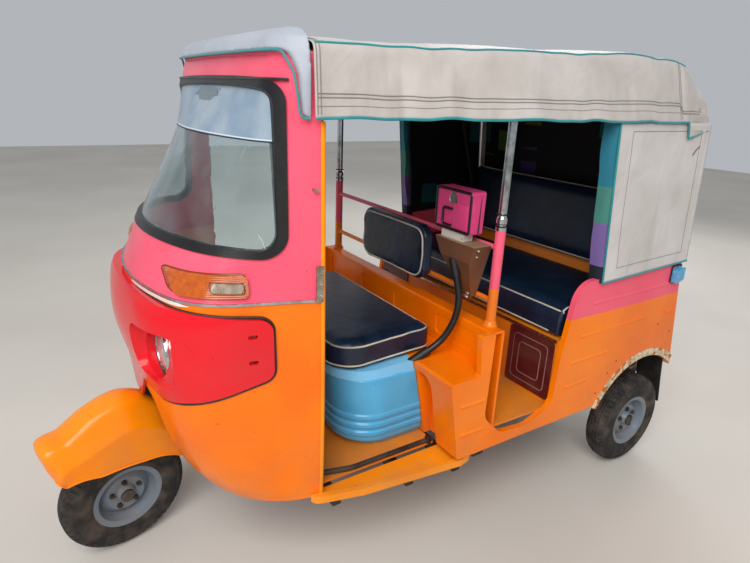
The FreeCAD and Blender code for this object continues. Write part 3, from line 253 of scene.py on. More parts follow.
def enamel(name, coat, faded, second=None, second_faded=None, seam=0.0, gloss=0.24, dusty_below=0.75,
           behind=-9.0):
    """Synthetic enamel on steel: a deep glossy coat, duller in faded patches, dust that thickens
    towards the ground and small chips down to brown primer. A second coat lies above the seam and
    behind the given Y."""
    material, tree, shader, spot = finish_of(name, gloss, Specular_IOR_Level=0.3,
                                             Coat_Weight=0.1, Coat_Roughness=0.1)
    place = add(tree, "ShaderNodeSeparateXYZ", {0: spot})
    height = place.outputs[2]
    colour = mottled(tree, spot, coat, faded, 0.35)
    # The second coat, above a slightly wavering seam line
    if second:
        wobble = add(tree, "ShaderNodeTexNoise", {"Vector": spot, "Scale": 25.0})
        line = add(tree, "ShaderNodeMath", {0: wobble.outputs[0], 1: 0.004, 2: seam},
                   operation="MULTIPLY_ADD")
        above = add(tree, "ShaderNodeMath", {0: height, 1: line.outputs[0]}, operation="GREATER_THAN")
        after = add(tree, "ShaderNodeMath", {0: place.outputs[1], 1: behind}, operation="GREATER_THAN")
        over = add(tree, "ShaderNodeMath", {0: above.outputs[0], 1: after.outputs[0]},
                   operation="MULTIPLY")
        upper = mottled(tree, spot, second, second_faded, 0.35)
        colour = add(tree, "ShaderNodeMix", {0: over.outputs[0], 6: colour, 7: upper},
                     data_type="RGBA").outputs[2]
    # Dust: more of it the nearer the ground, and only in patches
    low = add(tree, "ShaderNodeMapRange", {0: height, 1: dusty_below, 2: 0.1})
    grime = add(tree, "ShaderNodeTexNoise", {"Vector": spot, "Scale": 9.0, "Detail": 8.0})
    film = add(tree, "ShaderNodeMapRange", {0: grime.outputs[0], 1: 0.4, 2: 0.75, 4: 0.45})
    dust = add(tree, "ShaderNodeMath", {0: low.outputs[0], 1: film.outputs[0]}, operation="MULTIPLY")
    colour = add(tree, "ShaderNodeMix", {0: dust.outputs[0], 6: colour, 7: linear(ROAD_DUST)},
                 data_type="RGBA").outputs[2]
    chips = add(tree, "ShaderNodeTexNoise", {"Vector": spot, "Scale": 75.0, "Detail": 2.0})
    chipped = add(tree, "ShaderNodeMath", {0: chips.outputs[0], 1: 0.775}, operation="GREATER_THAN")
    colour = add(tree, "ShaderNodeMix", {0: chipped.outputs[0], 6: colour, 7: linear(CHIP_BROWN)},
                 data_type="RGBA").outputs[2]
    tree.links.new(colour, shader.inputs["Base Color"])
    dull = add(tree, "ShaderNodeMath", {0: dust.outputs[0], 1: 0.9, 2: gloss}, operation="MULTIPLY_ADD")
    tree.links.new(dull.outputs[0], shader.inputs["Roughness"])
    # Beaten panels wave softly, and the paint itself has a fine orange peel
    panel = add(tree, "ShaderNodeTexNoise", {"Vector": spot, "Scale": 5.0, "Detail": 1.0})
    peel = add(tree, "ShaderNodeTexNoise", {"Vector": spot, "Scale": 260.0, "Detail": 1.0})
    waves = add(tree, "ShaderNodeBump", {"Height": panel.outputs[0], "Distance": 0.006, "Strength": 0.5})
    skin = add(tree, "ShaderNodeBump", {"Height": peel.outputs[0], "Distance": 0.0002,
                                        "Strength": 0.5, "Normal": waves.outputs[0]})
    tree.links.new(skin.outputs[0], shader.inputs["Normal"])
    return material


ORANGE, ORANGE_FADED = "#ff8000", "#f26c00"
PINK, PINK_FADED = "#f65f76", "#ef4f69"
orange_enamel = enamel("orange_enamel", ORANGE, ORANGE_FADED)
pink_enamel = enamel("pink_enamel", PINK, PINK_FADED)
wear("cowl_lower", orange_enamel)
wear("cowl_upper", pink_enamel)

# The cab's outer skin, as the CAD loft has it, for the trim that lies on it. Each row is a height z,
# the nose's s, x and s where the front arc ends, x at the door's edge and the side's angle in degrees.
SCREEN_ROWS = np.array([
    (1.000, 0.088, 0.300, 0.140, 0.510, 73),
    (1.150, 0.150, 0.300, 0.220, 0.508, 66),
    (1.350, 0.262, 0.345, 0.331, 0.505, 70),
    (1.575, 0.385, 0.380, 0.398, 0.500, 70),
    (1.640, 0.402, 0.380, 0.415, 0.498, 70)])
APRON_ROWS = np.array([
    (0.340, 0.205, 0.250, 0.228, 0.506, 78),
    (0.450, 0.140, 0.260, 0.158, 0.510, 79),
    (0.600, 0.097, 0.270, 0.112, 0.512, 79),
    (0.780, 0.090, 0.280, 0.110, 0.512, 76),
    (1.000, 0.088, 0.300, 0.140, 0.510, 73)])
BEZEL_ROWS = np.array([
    (0.540, 0.094, 0.262, 0.108, 0.520, 79),
    (0.630, 0.083, 0.266, 0.102, 0.522, 79),
    (0.710, 0.072, 0.270, 0.094, 0.523, 77),
    (0.800, 0.050, 0.258, 0.080, 0.523, 76),
    (0.910, 0.044, 0.215, 0.064, 0.521, 76),
    (1.010, 0.066, 0.205, 0.091, 0.519, 75)])
DOOR_S = 0.511


def eased(knots, values, at):
    """A smooth line through the knots: a cubic between each two, its slopes taken from neighbours."""
    slopes = np.gradient(values, knots, axis=0)
    i = np.clip(np.searchsorted(knots, at, side="right") - 1, 0, len(knots) - 2)
    span = knots[i + 1] - knots[i]
    t = (at - knots[i]) / span
    if values.ndim > 1:
        t, span = t[..., None], span[..., None]
    return ((2 * t ** 3 - 3 * t ** 2 + 1) * values[i] + (t ** 3 - 2 * t ** 2 + t) * span * slopes[i]
            + (3 * t ** 2 - 2 * t ** 3) * values[i + 1] + (t ** 3 - t ** 2) * span * slopes[i + 1])


def cab_skin(rows, z, share, out=0.0):
    """Points on the cab's skin at heights z. share runs from 0 at the nose to 1 at the left door's
    edge (-1 at the right one): a front arc to 0.4, a corner arc to 0.8, then a straight side, each
    tangent to the next. out moves the skin outwards."""
    z, share = np.broadcast_arrays(np.asarray(z, float), np.asarray(share, float))
    nose, front_x, front_s, door_x, angle = np.moveaxis(eased(rows[:, 0], rows[:, 1:], z), -1, 0)
    rise = front_s - nose
    front = (front_x ** 2 + rise ** 2) / (2 * rise)
    turn = np.arcsin(front_x / front)
    side = np.radians(angle)
    reach = ((door_x - front_x) * np.sin(side) - (DOOR_S - front_s) * np.cos(side)) / np.sin(side - turn)
    corner = reach / np.tan((side - turn) / 2)
    corner_x = front_x - corner * np.sin(turn)
    corner_s = front_s + corner * np.cos(turn)
    a = np.abs(share)
    front_angle = turn * np.minimum(a / 0.4, 1)
    corner_angle = turn + (side - turn) * np.clip((a - 0.4) / 0.4, 0, 1)
    end_x = corner_x + (corner + out) * np.sin(side)
    end_s = corner_s - (corner + out) * np.cos(side)
    side_s = end_s + (DOOR_S - end_s) * (a - 0.8) / 0.2
    x = np.where(a < 0.4, (front + out) * np.sin(front_angle),
                 np.where(a < 0.8, corner_x + (corner + out) * np.sin(corner_angle),
                          end_x + (side_s - end_s) / np.tan(side)))
    s = np.where(a < 0.4, nose + front - (front + out) * np.cos(front_angle),
                 np.where(a < 0.8, corner_s - (corner + out) * np.cos(corner_angle), side_s))
    return np.stack([np.sign(share) * x, s + AXLE_Y, z], axis=-1)


def share_at(rows, z, s):
    """The share at which the left skin reaches the given s at each height, read from 2,000 steps."""
    steps = np.linspace(0, 1.05, 2000)
    z, s = np.broadcast_arrays(np.asarray(z, float), np.asarray(s, float))
    return np.array([np.interp(b + AXLE_Y, cab_skin(rows, a, steps)[:, 1], steps)
                     for a, b in zip(z.ravel(), s.ravel())]).reshape(z.shape)


SHARP_FROM = math.radians(40)


def placed(name, mesh, material, body="root", flat=False):
    """The mesh as an object on its body, smooth but for the edges that turn by 40 degrees or more."""
    if not flat:
        mesh.polygons.foreach_set("use_smooth", np.ones(len(mesh.polygons), bool))
        mesh.set_sharp_from_angle(angle=SHARP_FROM)
    mesh.materials.append(material)
    made = bpy.data.objects.new(name, mesh)
    bpy.context.scene.collection.objects.link(made)
    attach(made, body)
    return made


def surface(name, grid, material, body="root", around=False, capped=False, flat=False):
    """A mesh over a grid of points: a quad joins each point to its neighbours both ways. around
    joins the last column to the first, and capped closes the ends of such a tube with fans."""
    rows, columns = grid.shape[:2]
    number = np.arange(rows * columns).reshape(rows, columns)
    beside = np.roll(number, -1, axis=1)
    if not around:
        number, beside = number[:, :-1], beside[:, :-1]
    quads = np.stack([number[:-1], beside[:-1], beside[1:], number[1:]], axis=-1).reshape(-1, 4)
    points = grid.reshape(-1, 3)
    faces = quads.tolist()
    if capped:
        points = np.vstack([points, grid[0].mean(0), grid[-1].mean(0)])
        first, last = number[0], number[-1]
        faces += [[a, rows * columns, b] for a, b in zip(np.roll(first, -1), first)]
        faces += [[a, rows * columns + 1, b] for a, b in zip(last, np.roll(last, -1))]
    mesh = bpy.data.meshes.new(name)
    mesh.from_pydata(points.tolist(), [], faces)
    if capped:
        cleaned = bmesh.new()
        cleaned.from_mesh(mesh)
        bmesh.ops.recalc_face_normals(cleaned, faces=cleaned.faces)
        cleaned.to_mesh(mesh)
        cleaned.free()
    return placed(name, mesh, material, body, flat)


def carried(path, profile, up=(0, 0, 1)):
    """The grid of a profile carried along a path. The profile's first number is measured to the
    side, which is the path's direction crossed with up, and its second along the lift, which is
    the side crossed with the direction."""
    path = np.asarray(path, float)
    ahead = np.gradient(path, axis=0)
    ahead /= np.linalg.norm(ahead, axis=1, keepdims=True)
    side = np.cross(ahead, up)
    side /= np.linalg.norm(side, axis=1, keepdims=True)
    lift = np.cross(side, ahead)
    profile = np.asarray(profile, float)
    return (path[:, None] + profile[None, :, :1] * side[:, None]
            + profile[None, :, 1:] * lift[:, None])


def ring(radius, count=10, squash=1.0):
    """A round profile of that many points; squash flattens its second direction."""
    angle = np.arange(count) * 2 * math.pi / count
    return np.stack([radius * np.cos(angle), radius * squash * np.sin(angle)], axis=1)


def cord_along(name, path, radius, material, body="root", up=(0, 0, 1), count=10, squash=1.0):
    """A round cord or bead along a path, closed at both ends."""
    grid = carried(path, ring(radius, count, squash), up)
    return surface(name, grid, material, body, around=True, capped=True)


def joined(name, pieces):
    """Several pieces as one object on the first one's body; each keeps its own material."""
    first = pieces[0]
    total = bmesh.new()
    materials = []
    for piece in pieces:
        start = len(total.faces)
        total.from_mesh(piece.data)
        worn = piece.data.materials[:]
        materials += [material for material in worn if material not in materials]
        for face in list(total.faces)[start:]:
            face.material_index = materials.index(worn[face.material_index])
    first.data.materials.clear()
    for material in materials:
        first.data.materials.append(material)
    total.to_mesh(first.data)
    total.free()
    for piece in pieces[1:]:
        spare = piece.data
        bpy.data.objects.remove(piece)
        bpy.data.meshes.remove(spare)
    first.name = name
    return first


def mirror_of(piece, name):
    """The piece's mirror image on the vehicle's other side, with its faces turned outwards again."""
    mesh = piece.data.copy()
    mesh.transform(Matrix.Scale(-1, 4, (1, 0, 0)))
    mesh.flip_normals()
    made = bpy.data.objects.new(name, mesh)
    bpy.context.scene.collection.objects.link(made)
    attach(made, piece["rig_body"])
    return made


# Belt trim and door beads. A bright folded strip covers the joint of the two cab panels, and a
# folded orange bead stands along both rear edges of the cab, beside the doorways.


def bare_metal(name, pale, dull, roughness, grain=0.012):
    """Bare or plated metal: its own colour in the reflections, dulled and greyed in patches."""
    material, tree, shader, spot = finish_of(name, roughness, metallic=1.0)
    tree.links.new(mottled(tree, spot, pale, dull, 0.03), shader.inputs["Base Color"])
    scuff = add(tree, "ShaderNodeTexNoise", {"Vector": spot, "Scale": 1 / grain, "Detail": 6.0})
    rough = add(tree, "ShaderNodeMapRange",
                {0: scuff.outputs[0], 1: 0.3, 2: 0.7, 3: roughness * 0.7, 4: roughness * 1.6})
    tree.links.new(rough.outputs[0], shader.inputs["Roughness"])
    return material


bright_trim = bare_metal("folded_aluminium_trim", "#c4c7ca", "#a3a6a9", 0.28)
BELT_SPINE_Z = 1.003
belt_share = np.linspace(-1.0, 1.0, 161)
belt_line = cab_skin(SCREEN_ROWS, BELT_SPINE_Z, belt_share, 0.0005)
BELT_PROFILE = [(0.004, -0.0036), (-0.0025, -0.0036), (-0.0040, -0.0018), (-0.0040, 0.0018),
                (-0.0025, 0.0036), (0.004, 0.0036)]
surface("belt_trim", carried(belt_line, BELT_PROFILE), bright_trim, around=True, capped=True)

jamb_z = np.linspace(0.352, 1.478, 90)
jamb_rows = np.vstack([APRON_ROWS[:-1], SCREEN_ROWS])
jamb_line = cab_skin(jamb_rows, jamb_z, 1.0, 0.001) + np.array([0, -0.002, 0])
bead_enamel = enamel("orange_bead_enamel", "#ff9800", "#f08400", gloss=0.3)
joined("door_beads", [
    cord_along("bead", jamb_line * (side, 1, 1), 0.0065, bead_enamel, up=(1, 0, 0), squash=0.8)
    for side in (1, -1)])


def revolved(name, profile, place, axis, material, body="root", count=24):
    """A turned piece: its profile of (distance along the axis, radius) swept round the axis from
    place, with both ends closed where their radius isn't zero."""
    axis = np.asarray(axis, float) / np.linalg.norm(axis)
    beside = np.cross(axis, (0, 0, 1) if abs(axis[2]) < 0.9 else (1, 0, 0))
    beside /= np.linalg.norm(beside)
    above = np.cross(axis, beside)
    angle = np.arange(count) * 2 * math.pi / count
    spoke = np.cos(angle)[:, None] * beside + np.sin(angle)[:, None] * above
    profile = np.asarray(profile, float)
    grid = (np.asarray(place, float) + profile[:, None, :1] * axis
            + profile[:, None, 1:] * spoke[None])
    return surface(name, grid, material, body, around=True, capped=True)


def head(size):
    """The profile of a domed screw or rivet head of that radius, sunk a little at its foot."""
    return [(-size * 0.3, size), (size * 0.1, size), (size * 0.4, size * 0.8), (size * 0.55, size * 0.3)]


# White strip. A narrow painted strip is riveted to each side of the orange band between the belt
# and the lamp moulding; it ends in a point beside the lamps.
STRIP_Z = 0.9935
STRIP_POINTS = 60
strip_share = np.linspace(0.10, 0.56, STRIP_POINTS)
strip_line = cab_skin(APRON_ROWS, STRIP_Z, strip_share, 0.002)
steps_in = np.arange(STRIP_POINTS)
strip_half = 0.0050 * np.minimum(1, np.minimum(0.15 + steps_in / 5.0, 0.05 + steps_in[::-1] / 9.0))
strip_grid = np.stack([strip_line + np.outer(strip_half * side, (0, 0, 1)) + lift for side, lift in (
    (-1, 0), (-0.9, (0, -0.0012, 0)), (0.9, (0, -0.0012, 0)), (1, 0))], axis=1)
white_enamel = enamel("white_strip_enamel", "#f1eee8", "#e2dace", gloss=0.35)
rivet_steel = bare_metal("dull_rivet_steel", "#6f6a63", "#4a443e", 0.5)
strips = [surface("white_strip", strip_grid[:, ::-1], white_enamel)]
for share in np.linspace(0.13, 0.53, 8):
    rivet_place = cab_skin(APRON_ROWS, STRIP_Z, share, 0.0015)
    rivet_out = cab_skin(APRON_ROWS, STRIP_Z, share, 0.01) - rivet_place
    strips.append(revolved("rivet", head(0.0026), rivet_place, rivet_out, rivet_steel, count=10))
white_strip_left = joined("white_strip_left", strips)
mirror_of(white_strip_left, "white_strip_right")

# Windscreen. One wrapped sheet of glass, greyed by dust in patches and cracked low on its left, in a
# fat black rubber seal with a filler strip along its head. A plain grey-blue sun band with two thin
# lines at its foot is printed on film and stuck to the glass inside.


def dusty_glass(name, tint, film_low, film_high):
    """Clear glass with a grey film of dust that gathers in patches and scatters the light."""
    material, tree, shader, spot = finish_of(name, 0.02, IOR=1.45)
    cloud = add(tree, "ShaderNodeTexNoise", {"Vector": spot, "Scale": 6.0, "Detail": 8.0})
    film = add(tree, "ShaderNodeMapRange",
               {0: cloud.outputs[0], 1: 0.35, 2: 0.75, 3: film_low, 4: film_high})
    clear = add(tree, "ShaderNodeMath", {0: 1.0, 1: film.outputs[0]}, operation="SUBTRACT")
    colour = add(tree, "ShaderNodeMix", {0: film.outputs[0], 6: linear(tint), 7: linear("#b5aea2")},
                 data_type="RGBA")
    tree.links.new(colour.outputs[2], shader.inputs["Base Color"])
    tree.links.new(clear.outputs[0], shader.inputs["Transmission Weight"])
    return material


screen_glass = dusty_glass("dusty_screen_glass", "#d3e4e6", 0.0, 0.15)
seal_rubber = rubber("extruded_seal_rubber", "#060607", "#141312", 0.36, 0.006)
wear("windscreen", screen_glass)
wear("windscreen_seal", seal_rubber)

BAND_FOOT_Z, BAND_HEAD_Z = 1.428, 1.556
BEHIND_GLASS = -0.0043
LINE_HALF = 0.0018
# Printed film: a flat grey-blue, a little paler in patches, with a dull sheen
band_film, band_tree, band_shader, band_spot = finish_of("printed_sun_band", 0.35)
band_tree.links.new(mottled(band_tree, band_spot, "#7f94a8", "#9aa8b2", 0.09),
                    band_shader.inputs["Base Color"])
band_z = np.linspace(BAND_FOOT_Z, BAND_HEAD_Z, 14)[:, None]
band_share = np.linspace(-0.68, 0.68, 90)[None, :]
band_lines = []
for below, hex_colour in ((0.0015, "#c9d6df"), (0.0055, "#1b2430")):
    line_ink = finish_of("sun_band_line_" + hex_colour[1:], 0.4, Base_Color=linear(hex_colour))[0]
    line_z = BAND_FOOT_Z - below + np.array([-LINE_HALF, LINE_HALF])[:, None]
    band_lines.append(surface("line", cab_skin(SCREEN_ROWS, line_z, band_share, BEHIND_GLASS), line_ink))
joined("sun_band", [
    surface("band", cab_skin(SCREEN_ROWS, band_z, band_share, BEHIND_GLASS), band_film)] + band_lines)

SEAL_HEAD_Z = 1.574
filler_rubber = rubber("seal_filler_strip", "#1b1b1c", "#3a3733", 0.35, 0.01)
filler_line = cab_skin(SCREEN_ROWS, SEAL_HEAD_Z, np.linspace(-0.66, 0.66, 60), 0.007)
cord_along("seal_fillers", filler_line, 0.0035, filler_rubber)


def resampled(line, count):
    """The line with that many evenly spaced points."""
    along = np.concatenate([[0], np.cumsum(np.linalg.norm(np.diff(line, axis=0), axis=1))])
    even = np.linspace(0, along[-1], count)
    return np.stack([np.interp(even, along, line[:, i]) for i in range(line.shape[1])], axis=1)


# Broken glass: the crack's faces catch the light and look white
crack_white = finish_of("broken_glass_edge", 0.3, Base_Color=linear("#f0f2f0"))[0]
CRACK_POINTS = 14
cracks = []
for crack in ([(1.187, 0.711), (1.174, 0.747), (1.150, 0.796), (1.134, 0.826)],
              [(1.168, 0.838), (1.158, 0.824), (1.144, 0.820), (1.134, 0.818)]):
    crack = resampled(np.array(crack), CRACK_POINTS)
    jagged = crack[:, 0] + 0.0012 * np.sin(np.arange(CRACK_POINTS) * 2.4)
    crack_line = cab_skin(SCREEN_ROWS, jagged, crack[:, 1], 0.0002)
    cracks.append(cord_along("crack", crack_line, 0.0009, crack_white, up=(0, 1, 0), count=6, squash=0.6))
joined("screen_cracks", cracks)

# Indicators. Ribbed lamps moulded in amber plastic wrap the cab's corners above the belt. Each stands
# on a thin brown foot and has a clear window in a brown frame towards the doorway.


def lamp_plastic(name, deep, pale, ribs, direction="Z"):
    """Moulded lamp plastic: a saturated colour, glossy, lit a little from inside, with fine ribs."""
    material, tree, shader, spot = finish_of(name, 0.12, Coat_Weight=0.5, Coat_Roughness=0.04)
    shader.inputs["Subsurface Weight"].default_value = 0.15
    shader.inputs["Subsurface Radius"].default_value = (0.004, 0.002, 0.001)
    tree.links.new(mottled(tree, spot, deep, pale, 0.02), shader.inputs["Base Color"])
    wave = add(tree, "ShaderNodeTexWave", {"Vector": spot, "Scale": ribs}, bands_direction=direction)
    bump = add(tree, "ShaderNodeBump", {"Height": wave.outputs[1], "Distance": 0.0012, "Strength": 0.6})
    tree.links.new(bump.outputs[0], shader.inputs["Normal"])
    return material


amber_lens = lamp_plastic("ribbed_amber_plastic", "#b34c00", "#c76008", 60.0)
clear_lens = lamp_plastic("ribbed_clear_plastic", "#8b7a66", "#a99b88", 90.0, "Y")
amber_frame = rubber("brown_lamp_frame", "#6e3205", "#8a4510", 0.25, 0.01)
wear("front_indicators", amber_lens)


def path_on_skin(rows, corners, out):
    """A closed path on the cab's skin through rounded corners, each (s, z, radius) in the side view."""
    flat = rounded(corners, 0.004)
    share = share_at(rows, flat[:, 1], flat[:, 0])
    return cab_skin(rows, flat[:, 1], share, out)


def rounded(corners, step, closed=True):
    """Evenly spaced points along straight runs joined by arcs. Each corner is two numbers and its
    radius; a closed line ends where it begins."""
    points = []
    count = len(corners)
    for i, (a, b, radius) in enumerate(corners):
        here = np.array([a, b], float)
        if radius <= 0 or (not closed and i in (0, count - 1)):
            points.append(here)
            continue
        back = np.array(corners[i - 1][:2]) - here
        ahead = np.array(corners[(i + 1) % count][:2]) - here
        back /= np.linalg.norm(back)
        ahead /= np.linalg.norm(ahead)
        half = math.acos(np.clip(back @ ahead, -1, 1)) / 2
        reach = radius / math.tan(half)
        middle = here + (back + ahead) / np.linalg.norm(back + ahead) * radius / math.sin(half)
        start, end = here + back * reach - middle, here + ahead * reach - middle
        for t in np.linspace(0, 1, 9):
            arm = start * (1 - t) + end * t
            points.append(middle + arm / np.linalg.norm(arm) * radius)
    if closed:
        points.append(points[0])
    points = np.array(points)
    length = np.cumsum(np.linalg.norm(np.diff(points, axis=0), axis=1))[-1]
    return resampled(points, max(int(length / step), 8))


dark_gasket = rubber("lamp_gasket_rubber", "#17100c", "#2b221b", 0.5)
lens_foot = path_on_skin(SCREEN_ROWS, [(0.150, 1.022, 0.012), (0.318, 1.024, 0.014),
                                       (0.318, 1.084, 0.014), (0.150, 1.076, 0.012)], 0.002)
window_line = path_on_skin(SCREEN_ROWS, [(0.238, 1.036, 0.006), (0.312, 1.036, 0.006),
                                         (0.312, 1.064, 0.006), (0.238, 1.064, 0.006)], 0.0145)
window_z = np.linspace(1.038, 1.062, 5)[:, None]
window_share = np.linspace(float(share_at(SCREEN_ROWS, 1.05, 0.240)),
                           float(share_at(SCREEN_ROWS, 1.05, 0.310)), 14)[None, :]
indicator_pieces = [
    surface("window", cab_skin(SCREEN_ROWS, window_z, window_share, 0.0152), clear_lens),
    cord_along("frame", window_line, 0.0018, amber_frame, squash=0.9),
    cord_along("foot", lens_foot, 0.0028, amber_frame)]
indicator_trim_left = joined("indicator_trim_left", indicator_pieces)
mirror_of(indicator_trim_left, "indicator_trim_right")

# Lamp moulding. One red glass-fibre moulding carries both headlamps and hangs a pointed shield over
# the nose. It sits on a black rubber gasket and is held by screws in slots at its rear edges.
red_moulding = enamel("red_moulding_gelcoat", "#e50d1a", "#d81c28", gloss=0.2, dusty_below=0.9)
wear("headlamp_moulding", red_moulding)
GASKET_HEAD_Z, GASKET_FOOT_Z = 0.9825, 0.7015
gasket_side = rounded([(0.112, GASKET_HEAD_Z, 0), (0.378, 0.962, 0.040), (0.378, 0.781, 0.040),
                       (0.112, GASKET_FOOT_Z, 0)], 0.006, closed=False)
gasket_share = share_at(APRON_ROWS, gasket_side[:, 1], gasket_side[:, 0])
head_share = np.linspace(0, gasket_share[0], 20)[:-1]
foot_share = np.linspace(gasket_share[-1], 0.225, 12)[1:]
gasket_z = np.concatenate([np.full(len(head_share), GASKET_HEAD_Z), gasket_side[:, 1],
                           np.full(len(foot_share), GASKET_FOOT_Z)])
gasket_line = cab_skin(APRON_ROWS, gasket_z, np.concatenate([head_share, gasket_share, foot_share]),
                       0.0025)
moulding_gasket_left = cord_along("moulding_gasket_left", gasket_line, 0.0045, dark_gasket, up=(0, 1, 0.2))
mirror_of(moulding_gasket_left, "moulding_gasket_right")

rusty_steel = bare_metal("rusted_screw_steel", "#8a6a50", "#5a3b28", 0.55)
slot_screws = []
for slot_z in (0.839, 0.915):
    for side in (1, -1):
        slot_screws.append(revolved("screw", [(-0.002, 0.0052), (0.002, 0.0052), (0.004, 0.003)],
                                    (side * 0.4645, 0.3245 + AXLE_Y, slot_z), (side, -0.25, 0),
                                    rusty_steel, count=12))
joined("moulding_screws", slot_screws)

# Headlamps. Round fluted glasses over silvered bowls, each held by a plated ring with one screw. The
# finish is bright and nearly a mirror, and a bump of upright flutes breaks its reflections up.
lamp_glass, lamp_tree, lamp_shader, lamp_spot = finish_of("fluted_lamp_glass", 0.07, metallic=0.65,
                                                          Coat_Weight=1.0, Coat_Roughness=0.02)
lamp_tree.links.new(mottled(lamp_tree, lamp_spot, "#cdd3d6", "#8e979c", 0.05),
                    lamp_shader.inputs["Base Color"])
flutes = add(lamp_tree, "ShaderNodeTexWave", {"Vector": lamp_spot, "Scale": 42.0}, bands_direction="X")
flute_bump = add(lamp_tree, "ShaderNodeBump", {"Height": flutes.outputs[1], "Distance": 0.002})
lamp_tree.links.new(flute_bump.outputs[0], lamp_shader.inputs["Normal"])
wear("headlamps", lamp_glass)
plated = bare_metal("worn_chrome_plate", "#d9dcde", "#a4a8aa", 0.14, 0.02)
LAMP_X, LAMP_Z = 0.255, 0.826
LAMP_PLACE = np.array([LAMP_X, 0.128 + AXLE_Y, LAMP_Z])
bezel = [(0.010, 0.0690), (-0.002, 0.0660), (-0.008, 0.0670), (-0.0095, 0.0698), (-0.008, 0.0728),
         (-0.002, 0.0744), (0.008, 0.0744)]
lamp_rings = []
for side in (1, -1):
    lamp_rings.append(revolved("ring", bezel, LAMP_PLACE * (side, 1, 1), (0, 1, 0), plated, count=64))
    lamp_rings.append(revolved("ring_screw", head(0.003), LAMP_PLACE * (side, 1, 1)
                               + (0, -0.0085, 0.0705), (0, -1, 0), rusty_steel, count=10))
joined("lamp_rings", lamp_rings)

# Dashboard. A steel shelf in blue enamel behind the windscreen, with two black knobs, and a small
# black plastic case with a length of pale wire below the cab's roof.
dash_enamel = enamel("blue_dash_enamel", "#2f7fb4", "#4692c0", gloss=0.3, dusty_below=0.2)
wear("dashboard", dash_enamel)
black_plastic = rubber("moulded_black_plastic", "#0c0c0e", "#1b1b1d", 0.3, 0.02)
knob = [(0, 0.011), (0.014, 0.0105), (0.018, 0.008), (0.019, 0.003)]
joined("dash_fittings", [
    revolved("knob", knob, (x, s + AXLE_Y, z), (0, -0.2, 1), black_plastic, count=20)
    for x, s, z in ((0.05, 0.150, 1.0735), (0.19, 0.165, 1.0730))])


def block(name, low, high, bevel, material, body="root"):
    """A box between two opposite corners with its edges rounded off by that bevel."""
    shape = bmesh.new()
    bmesh.ops.create_cube(shape, size=1.0)
    low, high = Vector(low), Vector(high)
    for vertex in shape.verts:
        vertex.co = Vector((vertex.co[i] + 0.5) * (high[i] - low[i]) + low[i] for i in range(3))
    bmesh.ops.bevel(shape, geom=shape.edges, offset=bevel, segments=3, affect="EDGES", profile=0.5)
    mesh = bpy.data.meshes.new(name)
    shape.to_mesh(mesh)
    shape.free()
    return placed(name, mesh, material, body)


def smoothed(line, passes=3, closed=True):
    """The line with each point moved to the mean of itself and its neighbours, passes times."""
    for _ in range(passes):
        if closed:
            line = (np.roll(line, 1, axis=0) + line * 2 + np.roll(line, -1, axis=0)) / 4
        else:
            line[1:-1] = (line[:-2] + line[1:-1] * 2 + line[2:]) / 4
    return line


pale_wire = rubber("pale_wire_sheath", "#a9c9bd", "#8fb0a6", 0.4, 0.01)
WIRE_ROUTE = [(0.425, 0.440, 1.374), (0.436, 0.444, 1.350), (0.455, 0.452, 1.325),
              (0.466, 0.462, 1.300), (0.470, 0.470, 1.270)]
wire_line = resampled(np.array([(x, s + AXLE_Y, z) for x, s, z in WIRE_ROUTE]), 30)
joined("cab_roof_fittings", [
    block("case", (0.395, 0.423 + AXLE_Y, 1.372), (0.440, 0.460 + AXLE_Y, 1.432), 0.005, black_plastic),
    cord_along("wire", smoothed(wire_line, 6, closed=False), 0.0024, pale_wire, up=(0, 1, 0), count=8)])

# Wheel well, column jacket and mirror studs. The well and jacket are sheet steel in dark red enamel,
# dull with dust from the wheel. A zinc-plated stud stands on each side of the cab for a mirror.
inner_red = enamel("dark_red_enamel", "#8e0c08", "#6e0d0a", gloss=0.35, dusty_below=0.9)
wear("wheel_well", inner_red)
stud_steel = bare_metal("zinc_stud_steel", "#c7c2b4", "#8f8674", 0.4)
wear("mirror_studs", stud_steel)

# Latch plates. A bare zinc-plated steel plate is riveted to each rear edge of the cab, with three
# pins for a door chain.
PLATE_PROFILE = [(-0.012, -0.002), (0.010, -0.002), (0.012, 0.0), (0.010, 0.0025), (-0.012, 0.0025)]
plate_line = [(0.5135, 0.499 + AXLE_Y, z) for z in np.linspace(1.000, 1.104, 12)]
plate_pieces = [surface("plate", carried(plate_line, PLATE_PROFILE, (1, 0, 0)), stud_steel,
                        around=True, capped=True, flat=True)]
plate_pieces += [revolved("pin", [(-0.004, 0.0035), (0.008, 0.0035), (0.010, 0.002)],
                          (0.5155, 0.500 + AXLE_Y, z), (1, 0.15, 0), stud_steel, count=12)
                 for z in (1.020, 1.052, 1.084)]
latch_left = joined("latch_plate_left", plate_pieces)
mirror_of(latch_left, "latch_plate_right")

# Lamp bowls. The moulding's glass fibre is drawn in behind its front edge to a funnel round each
# lamp, just in front of the cab's skin, and ends in a short lining inside the lamp's bore.


def skin_s(rows, x, z):
    """How far behind the front axle the cab's left skin lies at x and z, read from 600 steps."""
    steps = np.linspace(0, 1.05, 600)
    x, z = np.broadcast_arrays(np.asarray(x, float), np.asarray(z, float))
    found = []
    for a, b in zip(x.ravel(), z.ravel()):
        line = cab_skin(rows, b, steps)
        found.append(np.interp(a, line[:, 0], line[:, 1]) - AXLE_Y)
    return np.array(found).reshape(x.shape)


